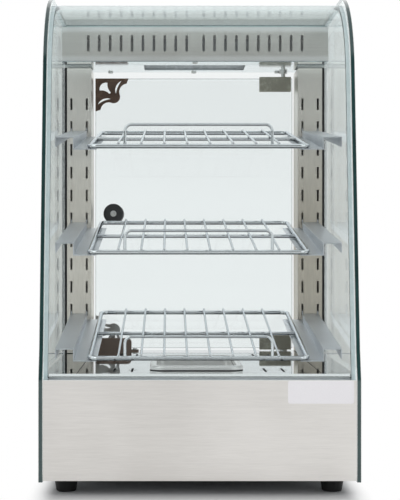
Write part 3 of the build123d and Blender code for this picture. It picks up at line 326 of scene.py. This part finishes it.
def galvanised_sheet():
    """Zinc coated sheet with its crystal pattern."""
    finish = Finish("galvanised_sheet")
    crystal = finish.cells(160.0)
    speck = finish.noise(900.0, 3.0)
    return finish.paint(
        Base_Color=finish.mix(rgb(0.42, 0.44, 0.46), rgb(0.62, 0.64, 0.66), crystal),
        Metallic=0.9,
        Roughness=0.38 + crystal * 0.12 + speck * 0.05,
        Normal=finish.bump(speck, 0.1, 0.04 * MM),
    )


def chrome_wire():
    """Bright plated wire with dull spots and fine pits, and painted shade where it faces down."""
    finish = Finish("chrome_wire")
    dull = finish.noise(55.0, 3.0, 0.6)
    pits = finish.noise(1500.0, 2.0)
    # Painted shade: the wire is painted dark where its surface faces down.
    upper = finish.facing()[2].step(-0.8, 0.2)
    plate = finish.mix(rgb(0.77, 0.8, 0.82), rgb(0.93, 0.95, 0.96), dull)
    return finish.paint(
        Base_Color=finish.mix(rgb(0.2, 0.21, 0.22), plate, upper),
        Metallic=1.0,
        Specular_Tint=rgb(0.6, 0.62, 0.64),
        Roughness=0.07 + dull.step(0.5, 0.8) * 0.1,
        Normal=finish.bump(pits, 0.06, 0.03 * MM),
    )


def see_through(finish, tint, deep, edge, edge_mask, sheen=(0.99, 1.0, 1.0), fall=5.0):
    """Clear pane with solid edges; at a slant it is deeper in colour and more of a mirror."""
    slant = Signal(finish, finish.node("LayerWeight", None, {"Blend": 0.5}).outputs["Facing"])
    steep = slant**fall
    clear = finish.node("BsdfTransparent", None, {"Color": tint})
    body = finish.node("BsdfTransparent", None, {"Color": deep})
    mirror = finish.node("BsdfGlossy", None, {"Color": rgb(*sheen), "Roughness": 0.015})
    pane = finish.blend(0.04 + steep * 0.96, finish.blend(steep, clear, body), mirror)
    finish.paint(Base_Color=edge, Roughness=0.12, Coat_Weight=0.6, Coat_Roughness=0.05)
    whole = finish.blend(edge_mask, pane, finish.shader)
    finish.feed(finish.output.inputs[0], whole.outputs[0])
    return finish.material


def edge_green(finish):
    """Dark bottle green of a cut glass edge, uneven along its length."""
    swirl = finish.noise(35.0, 3.0)
    return finish.mix(rgb(0.006, 0.022, 0.022), rgb(0.02, 0.07, 0.068), swirl)


def edge_pale(finish):
    """Pale blue grey of a polished glass edge with light behind it."""
    swirl = finish.noise(35.0, 3.0)
    return finish.mix(rgb(0.5, 0.54, 0.58), rgb(0.66, 0.7, 0.74), swirl)


def side_pane():
    """Side glass: its two large faces look along X."""
    finish = Finish("side_pane")
    across = abs(finish.facing()[0])
    mask = 1 - across.step(0.6, 0.8)
    tint, deep = rgb(0.98, 0.992, 0.99), rgb(0.97, 0.995, 0.995)
    return see_through(finish, tint, deep, edge_green(finish), mask, (0.97, 1.0, 1.0), 9.0)


def front_pane():
    """Curved glass: all its cut edges lie at its ends, bottom and rear."""
    finish = Finish("front_pane")
    y, z = finish.axes()[1:]
    ends = abs(finish.facing()[0]).step(0.6, 0.8)
    foot = 1 - z.step(glass_low.z + 0.2 * MM, glass_low.z + 0.4 * MM)
    rear = y.step(glass_high.y - 0.4 * MM, glass_high.y - 0.2 * MM)
    mask = (ends + foot + rear).math("MINIMUM", 1.0)
    edge = finish.mix(edge_green(finish), edge_pale(finish), foot)
    tint, deep = rgb(0.97, 0.982, 0.982), rgb(0.76, 0.81, 0.81)
    return see_through(finish, tint, deep, edge, mask, (0.79, 0.84, 0.84))


def door_pane():
    """Door glass: its two large faces look along Y."""
    finish = Finish("door_pane")
    along = abs(finish.facing()[1])
    mask = 1 - along.step(0.6, 0.8)
    return see_through(finish, rgb(0.96, 0.975, 0.975), rgb(0.8, 0.9, 0.9), edge_pale(finish), mask)


def clear_bead(name, alpha, low=(0.6, 0.75, 0.77), high=(0.78, 0.9, 0.91), shadow_line_above=None):
    """Clear sealant, part see-through, with a painted shadow line above a height where one is given."""
    finish = Finish(name)
    ripple = finish.noise(60.0, 3.0)
    colour = finish.mix(rgb(*low), rgb(*high), ripple)
    # Painted shadow line above the given height.
    if shadow_line_above is not None:
        colour = finish.mix(colour, rgb(0.2, 0.21, 0.21), finish.axes()[2].step(shadow_line_above, shadow_line_above + 0.3 * MM))
    return finish.paint(
        Base_Color=colour,
        Roughness=0.2 + ripple * 0.15,
        Alpha=alpha,
        Normal=finish.bump(ripple, 0.3, 0.4 * MM),
    )


def moulded(name, colour, roughness=0.42, grain=1400.0, coat=0.0):
    """Moulded plastic with a fine spark-eroded grain."""
    finish = Finish(name)
    speckle = finish.noise(grain, 2.0)
    wear = finish.noise(30.0, 3.0)
    lighter = rgb(*[min(1.0, c * 1.25 + 0.004) for c in colour])
    return finish.paint(
        Base_Color=finish.mix(rgb(*colour), lighter, wear),
        Roughness=roughness - 0.05 + wear * 0.12,
        Coat_Weight=coat,
        Normal=finish.bump(speckle, 0.15, 0.05 * MM),
    )


def pointer_plastic():
    """Black knob whose raised pointer is painted white."""
    finish = Finish("pointer_plastic")
    speckle = finish.noise(1400.0, 2.0)
    raised = finish.axes()[1].step(knob_high.y - 0.95 * MM, knob_high.y - 0.85 * MM)
    return finish.paint(
        Base_Color=finish.mix(rgb(0.012, 0.012, 0.013), rgb(0.8, 0.8, 0.78), raised),
        Roughness=0.36 + speckle * 0.1,
        Normal=finish.bump(speckle, 0.15, 0.05 * MM),
    )


def rubber(name, pale_above=None):
    """Moulded black rubber with a dusty bloom; a pale grey strip above a height, where one is given."""
    finish = Finish(name)
    bloom = finish.noise(70.0, 4.0, 0.6)
    grain = finish.noise(1100.0, 2.0)
    colour = finish.mix(rgb(0.008, 0.008, 0.009), rgb(0.018, 0.018, 0.018), bloom)
    if pale_above is not None:
        above = finish.axes()[2].step(pale_above, pale_above + 0.4 * MM)
        colour = finish.mix(colour, rgb(0.62, 0.63, 0.61), above)
    return finish.paint(
        Base_Color=colour,
        Specular_IOR_Level=0.25,
        Roughness=0.5 + bloom * 0.2,
        Normal=finish.bump(grain, 0.25, 0.06 * MM),
    )


def painted_metal(name, colour, roughness, reflection_below=None):
    """Lacquered or plated metal with rubbed spots, and a painted silvery reflection below a height where
    one is given.
    """
    finish = Finish(name)
    rub = finish.noise(220.0, 3.0, 0.6)
    cloud = finish.noise(45.0, 2.0)
    bright = rgb(*[min(1.0, c * 1.7 + 0.01) for c in colour])
    shade = finish.mix(rgb(*colour), bright, (rub * 0.5 + cloud * 0.5).step(0.45, 0.75))
    if reflection_below is not None:
        # Painted reflection: silvery below the given height, in soft patches.
        painted_reflection = (1 - finish.axes()[2].step(reflection_below, reflection_below + 60 * MM)) * (cloud.step(0.3, 0.6) * 0.4 + 0.6)
        shade = finish.mix(shade, rgb(0.55, 0.55, 0.54), painted_reflection)
    return finish.paint(
        Base_Color=shade,
        Metallic=0.6,
        Roughness=roughness + rub * 0.12,
        Normal=finish.bump(rub, 0.15, 0.05 * MM),
    )


def plated_screw():
    """Zinc plated steel."""
    finish = Finish("plated_screw")
    tone = finish.noise(500.0, 3.0)
    return finish.paint(
        Base_Color=finish.mix(rgb(0.45, 0.45, 0.44), rgb(0.7, 0.7, 0.68), tone),
        Metallic=1.0,
        Roughness=0.22 + tone * 0.15,
    )


def oxidised_steel():
    """Heater sheath, blued and dulled by heat."""
    finish = Finish("oxidised_steel")
    heat = finish.noise(40.0, 3.0)
    grey, straw, blue = rgb(0.16, 0.15, 0.15), rgb(0.2, 0.16, 0.12), rgb(0.12, 0.13, 0.18)
    ramp = finish.node("ValToRGB", {"stops": [(0.3, grey), (0.5, straw), (0.7, blue)]}, {"Fac": heat})
    return finish.paint(Base_Color=ramp.outputs[0], Metallic=0.8, Roughness=0.42 + heat * 0.15)


def frosted_tube():
    """Lamp: frosted glass with metal caps at both ends."""
    finish = Finish("frosted_tube")
    cap = abs(finish.axes()[0]).step(63.7 * MM, 64.0 * MM)
    frost = finish.noise(300.0, 2.0)
    return finish.paint(
        Base_Color=finish.mix(rgb(0.86, 0.85, 0.8), rgb(0.62, 0.62, 0.6), cap),
        Metallic=cap * 0.9,
        Roughness=0.35 - cap * 0.1 + frost * 0.08,
    )


def blank_label():
    """Bare white film label with a slight texture."""
    finish = Finish("blank_label")
    weave = finish.noise(700.0, 2.0)
    return finish.paint(
        Base_Color=finish.mix(rgb(0.84, 0.82, 0.84), rgb(0.9, 0.88, 0.9), weave),
        Roughness=0.3 + weave * 0.1,
        Normal=finish.bump(weave, 0.08, 0.03 * MM),
    )


def cable_sheath():
    """Silicone insulated leads."""
    finish = Finish("cable_sheath")
    dust = finish.noise(120.0, 3.0)
    return finish.paint(
        Base_Color=finish.mix(rgb(0.05, 0.05, 0.052), rgb(0.09, 0.09, 0.09), dust),
        Roughness=0.5 + dust * 0.15,
    )


def dress(names, material):
    """Puts one finish on every slot of these nodes."""
    for name in names:
        for slot in nodes[name].material_slots:
            slot.material = material


def levels(stem):
    """Node names of one kind at the three shelf levels."""
    return [f"{stem}_{level}" for level in LEVELS]


brackets = [f"{row}_{side}" for row in levels("bracket") for side in ("left", "right")]
feet = [f"foot_{end}_{side}" for end in ("front", "rear") for side in ("left", "right")]

shell_steel = brushed_steel(
    "shell_steel", rgb(0.84, 0.82, 0.79), rgb(0.68, 0.66, 0.63), polished_above=ledge_top
)
panel_steel = brushed_steel("panel_steel", rgb(0.76, 0.75, 0.73), rgb(0.68, 0.67, 0.65))
canopy_steel = brushed_steel("canopy_steel", rgb(0.73, 0.73, 0.7), rgb(0.58, 0.575, 0.55), 0.32)
# Heights between which the header has no painted highlight
header_band = (header_low.z + 9 * MM, header_high.z - 9 * MM)
header_steel = brushed_steel(
    "header_steel", rgb(0.77, 0.76, 0.71), rgb(0.6, 0.585, 0.545), 0.32, lit=header_band
)
mirror_floor = polished_steel("mirror_floor", (0.93, 0.955, 0.955), 0.03)
mirror_ceiling = polished_steel("mirror_ceiling", (0.86, 0.94, 0.96), 0.1, metal=0.75)
# Posts: painted light paler towards their upper ends, painted shadow at their feet and on the walls of
# their slots.
post_steel = satin_steel(
    "post_steel", rgb(0.86, 0.81, 0.73), rgb(0.73, 0.68, 0.605), 0.38,
    warmth=(0.67, 0.61, 0.52), contact_shadow=floor_top + 0.5 * MM,
)
bracket_steel = satin_steel("bracket_steel", rgb(0.71, 0.735, 0.765), rgb(0.61, 0.635, 0.665), 0.42)
zinc = galvanised_sheet()
shelf_chrome = chrome_wire()
feet_rubber = rubber("feet_rubber")
black_plastic = moulded("black_plastic", (0.012, 0.012, 0.013), 0.4)
cream_plastic = moulded("cream_plastic", (0.62, 0.56, 0.44), 0.5)
brown_plastic = moulded("brown_plastic", (0.145, 0.1, 0.075), 0.4)
screw_finish = plated_screw()
oxide = oxidised_steel()
bead_finish = clear_bead("clear_bead", 0.7)
# Sealant at the glass foot: a copy of the clear sealant painted paler as painted light for its shaded gap,
# with a painted shadow line along its upper part.
painted_light_sealant = clear_bead(
    "painted_light_sealant", 0.6, (0.85, 0.89, 0.89), (0.95, 0.97, 0.97), shadow_line_above=ledge_top + 1.7 * MM
)
scale_paint = moulded("scale_paint", (0.02, 0.02, 0.021), 0.5)
mark_paint = moulded("mark_paint", (0.8, 0.8, 0.78), 0.45)

dress(["base_shell"], shell_steel)
dress(["rear_panel"], panel_steel)
dress(["canopy_rear"], canopy_steel)
dress(["canopy_top"], brushed_steel("crown_steel", rgb(0.78, 0.78, 0.76), rgb(0.7, 0.7, 0.68)))
dress(["canopy_header"], header_steel)
dress(["floor_plate", "floor_strip_left", "floor_strip_right"], mirror_floor)
dress(["ceiling_panel"], mirror_ceiling)
dress(["water_tray"], tray_steel())
dress(["post_left", "post_right"], post_steel)
dress(brackets, bracket_steel)
dress(levels("shelf"), shelf_chrome)
dress(["bottom_cover", "heat_shield", "element_clips", "lamp_reflector"], zinc)
dress(["side_glass_left", "side_glass_right"], side_pane())
dress(["front_glass"], front_pane())
dress(["door_glass"], door_pane())
dress(["glass_seals"], bead_finish)
dress(feet, feet_rubber)
dress(["post_seals"], rubber("seal_rubber", pale_above=post_high.z + 0.6 * MM))
dress(["door_knob", "power_switch", "light_switch"], black_plastic)
dress(["thermostat_knob"], pointer_plastic())
dress(["power_inlet", "thermostat_body"], black_plastic)
dress(["power_rocker"], moulded("red_rocker", (0.45, 0.02, 0.015), 0.28, coat=0.4))
dress(["light_rocker"], moulded("green_rocker", (0.02, 0.26, 0.06), 0.28, coat=0.4))
dress(["pilot_lamp"], moulded("amber_lens", (0.8, 0.3, 0.02), 0.15, grain=500.0, coat=0.8))
dress(["terminal_block", "lamp_holders"], cream_plastic)
dress(["wiring"], cable_sheath())
dress(["heating_element", "sensor_bulb"], oxide)
dress(["panel_screws", "foot_screws", "door_screws", "hinge_pins", "pivot_bushes"], screw_finish)
dress(["hinge_plates"], painted_metal("hinge_metal", (0.32, 0.305, 0.25), 0.34))
# Corner plates, with a painted silvery reflection below 200 mm.
dress(["corner_plates"], painted_metal("corner_bronze", (0.12, 0.07, 0.048), 0.4, reflection_below=200 * MM))
dress(["magnetic_catch"], brown_plastic)
dress(["lamp_tube"], frosted_tube())
dress(["label"], blank_label())


# Small pieces on the frame


def choose_only(piece):
    """Makes one piece the only selected and active one."""
    bpy.ops.object.select_all(action="DESELECT")
    piece.select_set(True)
    bpy.context.view_layer.objects.active = piece


def settle(piece, name, material, body):
    """Puts a modelled piece's place in its mesh, names it, finishes it and sets it on its body."""
    choose_only(piece)
    bpy.ops.object.transform_apply(location=True, rotation=True, scale=True)
    piece.name = name
    piece.data.name = name
    piece.data.materials.clear()
    piece.data.materials.append(material)
    bpy.ops.object.shade_smooth_by_angle(angle=math.radians(35))
    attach(piece, body)


def bar(low, high, turn=(0.0, 0.0, 0.0)):
    """Square bar between two corners, turned about its own middle."""
    bpy.ops.object.select_all(action="DESELECT")
    low, high = Vector(low), Vector(high)
    bpy.ops.mesh.primitive_cube_add(size=1.0, location=(low + high) / 2, rotation=turn, scale=high - low)
    piece = bpy.context.object
    bpy.ops.object.transform_apply(location=False, rotation=False, scale=True)
    return piece


def soften(piece, width, segments=2):
    """Rounds every edge of a piece."""
    choose_only(piece)
    bevel = piece.modifiers.new("round", "BEVEL")
    bevel.width = width
    bevel.segments = segments
    bpy.ops.object.modifier_apply(modifier=bevel.name)


def join(pieces):
    """One piece out of several."""
    choose_only(pieces[0])
    for piece in pieces[1:]:
        piece.select_set(True)
    bpy.ops.object.join()
    return bpy.context.object


def foot_bead():
    """Sealant between the foot of the front glass and the riser of the base, drawn a little unevenly."""
    reach = glass_high.x - 1 * MM
    bead = bar((-reach, GLASS_FOOT, ledge_top), (reach, RISER_FACE, ledge_top + 2.4 * MM))
    choose_only(bead)
    cuts = [0] + [side * step for step in range(1, 24) for side in (-1, 1)]
    bpy.ops.object.mode_set(mode="EDIT")
    for cut in cuts:
        bpy.ops.mesh.select_all(action="SELECT")
        bpy.ops.mesh.bisect(plane_co=(cut * 7 * MM, 0.0, 0.0), plane_no=(1.0, 0.0, 0.0))
    bpy.ops.object.mode_set(mode="OBJECT")
    for vertex in bead.data.vertices:
        vertex.select = vertex.co.z > 0 and vertex.co.y > 0
    bpy.ops.object.mode_set(mode="EDIT")
    bpy.ops.transform.vertex_random(offset=0.25 * MM, normal=0.0, seed=4)
    bpy.ops.object.mode_set(mode="OBJECT")
    soften(bead, 0.4 * MM)
    settle(bead, "glass_foot_bead", painted_light_sealant, "case")


def seam_strip(side):
    """Black strip pressed into the seam between the floor plate and a floor strip."""
    inside = side * floor_high.x
    outside = side * strip_low.x
    low = (min(inside, outside), RISER_FACE + 0.4 * MM, floor_top - 1.1 * MM)
    high = (max(inside, outside), door_front, floor_top - 0.1 * MM)
    strip = bar(low, high)
    soften(strip, 0.15 * MM, 1)
    name = "seam_strip_left" if side < 0 else "seam_strip_right"
    settle(strip, name, feet_rubber, "case")


def shelf_welds(level):
    """Resistance weld nuggets where the deck wires and the guard sit on the bars of a shelf."""
    low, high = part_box(f"shelf_{level}")
    front = low.y + FRAME_WIRE / 2
    base = low.z + FRAME_WIRE / 2
    bars = [(0.0, FRAME_WIRE), (SHELF_RUN / 2, CROSS_WIRE), (SHELF_RUN, FRAME_WIRE)]
    places = []
    for index in range(DECK_WIRES):
        x = (index - (DECK_WIRES - 1) / 2) * WIRE_PITCH
        for run, thick in bars:
            places.append((x, front + run, base + run * SHELF_SLOPE + thick / 2))
    guard = high.x - FRAME_WIRE / 2 - GUARD_INSET
    places += [(side * guard, front, base + FRAME_WIRE / 2) for side in (-1, 1)]
    turn = (math.atan(SHELF_SLOPE), 0.0, 0.0)
    nuggets = []
    for place in places:
        bpy.ops.object.select_all(action="DESELECT")
        bpy.ops.mesh.primitive_uv_sphere_add(
            segments=10, ring_count=6, radius=WELD, location=place, rotation=turn
        )
        bpy.ops.object.transform_apply(location=False, rotation=True, scale=False)
        nugget = bpy.context.object
        nugget.scale = (1.0, 1.0, 0.5)
        nuggets.append(nugget)
    settle(join(nuggets), f"shelf_{level}_welds", shelf_chrome, f"shelf_{level}_body")


def seen_from_behind(angle, radius, centre):
    """Place on the rear panel at an angle from straight up, clockwise for a person behind the case."""
    return Vector((centre.x - radius * math.sin(angle), 0.0, centre.z + radius * math.cos(angle)))


def dial_scale():
    """Printed scale round the thermostat knob: a tick every thirty degrees and a number every ninety."""
    centre = (knob_low + knob_high) / 2
    reach = knob_high.x - centre.x
    ticks = []
    for step in range(10):
        angle = math.radians(30 * step)
        long_tick = step % 3 == 0
        middle = seen_from_behind(angle, reach + (4.4 if long_tick else 3.8) * MM, centre)
        half = Vector((0.35 * MM, 0.0, (1.6 if long_tick else 1.0) * MM))
        low = Vector((middle.x, panel_face, middle.z)) - half
        high = Vector((middle.x, panel_face + 0.12 * MM, middle.z)) + half
        ticks.append(bar(low, high, (0.0, -angle, 0.0)))
    settle(join(ticks), "dial_ticks", scale_paint, "case")
    for step, words in enumerate(("0", "30", "60", "90")):
        spot = seen_from_behind(math.radians(90 * step), reach + 10.5 * MM, centre)
        bpy.ops.object.select_all(action="DESELECT")
        turn = (math.pi / 2, 0.0, math.pi)
        bpy.ops.object.text_add(location=(spot.x, panel_face + 0.06 * MM, spot.z), rotation=turn)
        number = bpy.context.object
        number.data.body = words
        number.data.size = 6.0 * MM
        number.data.extrude = 0.06 * MM
        number.data.align_x = "CENTER"
        number.data.align_y = "CENTER"
        bpy.ops.object.convert(target="MESH")
        settle(bpy.context.object, f"dial_number_{words}", scale_paint, "case")


def rocker_half(kind, part):
    """Middle of the face of one half of a rocker, 1 the upper and -1 the lower, and its tilt."""
    low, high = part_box(f"{kind}_rocker")
    centre = (low + high) / 2
    along = part * ROCKER_HALF
    y = ROCKER_PIVOT + ROCKER_FACE * math.cos(ROCKER_TILT) - along * math.sin(ROCKER_TILT)
    z = centre.z + ROCKER_FACE * math.sin(ROCKER_TILT) + along * math.cos(ROCKER_TILT)
    return Vector((centre.x, y, z)), ROCKER_TILT - part * ROCKER_DISH


def rocker_marks(kind):
    """White bar and ring let into the two halves of a rocker: on above, off below."""
    spot, tilt = rocker_half(kind, 1)
    half = Vector((0.4 * MM, 0.07 * MM, 1.9 * MM))
    on_mark = bar(spot - half, spot + half, (tilt, 0.0, 0.0))
    soften(on_mark, 0.05 * MM, 1)
    spot, tilt = rocker_half(kind, -1)
    bpy.ops.object.select_all(action="DESELECT")
    bpy.ops.mesh.primitive_torus_add(
        location=spot, rotation=(tilt + math.pi / 2, 0.0, 0.0), major_segments=32, minor_segments=8,
        major_radius=1.7 * MM, minor_radius=0.35 * MM,
    )
    off_mark = bpy.context.object
    off_mark.scale = (1.0, 1.0, 0.2)
    marks = join([on_mark, off_mark])
    settle(marks, f"{kind}_rocker_marks", mark_paint, f"{kind}_rocker_body")


foot_bead()
for side in (-1, 1):
    seam_strip(side)
for level in LEVELS:
    shelf_welds(level)
dial_scale()
for kind in ("power", "light"):
    rocker_marks(kind)


# Studio


def studio_world():
    """Even white surroundings; mirrors see a dark band above the horizon in front."""
    world = bpy.data.worlds.new("studio")
    bpy.context.scene.world = world
    world.use_nodes = True
    world.node_tree.nodes.clear()
    room = Shading(world.node_tree)
    output = room.node("OutputWorld")
    path = room.node("LightPath").outputs
    split = room.node("SeparateXYZ", None, {0: room.node("TexCoord").outputs["Generated"]})
    y, z = [Signal(room, split.outputs[name]) for name in ("Y", "Z")]
    band = z.step(0.03, 0.09) * (1 - z.step(0.58, 0.7))
    front = 0.9 - band * 0.78
    behind = y.step(-0.35, 0.1)
    level = front * (1 - behind) + behind * 0.85
    plain = room.node("Background", None, {"Color": rgb(0.97, 0.985, 1.0), "Strength": 0.62})
    mirrored = room.node("Background", None, {"Color": rgb(0.98, 0.99, 1.0), "Strength": level})
    white = room.node("Background", None, {"Color": rgb(1.0, 1.0, 1.0), "Strength": 1.0})
    shiny = room.blend(path["Is Glossy Ray"], plain, mirrored)
    seen = Signal(room, path["Is Camera Ray"]).math("MAXIMUM", path["Is Transmission Ray"])
    room.feed(output.inputs[0], room.blend(seen, shiny, white).outputs[0])


def studio_floor():
    """Pale floor: real shade near the case with painted shadow where it stands, plain white further out."""
    finish = Finish("studio_floor")
    across, along = [abs(axis) for axis in finish.axes()[:2]]
    beside = (across - case_half).step(-0.02, 0.015)
    before = (along - half_depth).step(0.02, 0.14)
    away = beside.math("MAXIMUM", before)
    # Painted shadow: the floor is painted darker where the case stands.
    within = 1 - across.step(case_half - 0.02, case_half)
    painted_shadow_under = within * (1 - along.step(half_depth + 0.01, half_depth + 0.06))
    path = finish.node("LightPath")
    seen = Signal(finish, path.outputs["Is Camera Ray"]) + Signal(finish, path.outputs["Is Glossy Ray"])
    seen = seen + Signal(finish, path.outputs["Is Transmission Ray"])
    dust = finish.noise(40.0, 3.0)
    pale = finish.mix(rgb(0.84, 0.84, 0.84), rgb(0.88, 0.88, 0.88), dust)
    finish.paint(Base_Color=finish.mix(pale, rgb(0.57, 0.57, 0.57), painted_shadow_under), Roughness=0.6)
    glow = finish.node("Emission", None, {"Color": rgb(1.0, 1.0, 1.0), "Strength": 1.0})
    whole = finish.blend(away * seen.math("MINIMUM", 1.0), finish.shader, glow)
    finish.feed(finish.output.inputs[0], whole.outputs[0])
    bpy.ops.mesh.primitive_plane_add(size=16.0)
    floor = bpy.context.object
    floor.name = "studio_floor"
    floor.data.materials.append(finish.material)


def softbox(name, place, size, power):
    """Square area lamp aimed at the middle of the case."""
    bpy.ops.object.light_add(type="AREA", location=place)
    lamp = bpy.context.object
    lamp.name = name
    lamp.data.shape = "SQUARE"
    lamp.data.size = size
    lamp.data.energy = power
    aim = case_middle - Vector(place)
    lamp.rotation_euler = aim.to_track_quat("-Z", "Y").to_euler()


def studio_camera():
    """Level camera straight in front, a little left of the middle."""
    eye = Vector((-34.0, -1784.0, 278.0)) * MM
    bpy.ops.object.camera_add(location=eye, rotation=(math.pi / 2, 0.0, 0.0))
    camera = bpy.context.object
    camera.data.lens = 100.45
    camera.data.shift_x = 0.0606
    bpy.context.scene.camera = camera


bpy.ops.object.select_all(action="DESELECT")
studio_world()
studio_floor()
softbox("key", (-2.4, -2.3, 2.3), 3.4, 40.0)
softbox("fill", (2.3, -2.2, 1.8), 3.0, 24.0)
softbox("rear", (0.3, 2.9, 2.4), 3.6, 18.0)
studio_camera()
bpy.context.scene.view_settings.view_transform = "Standard"
bpy.context.scene.cycles.transparent_max_bounces = 24
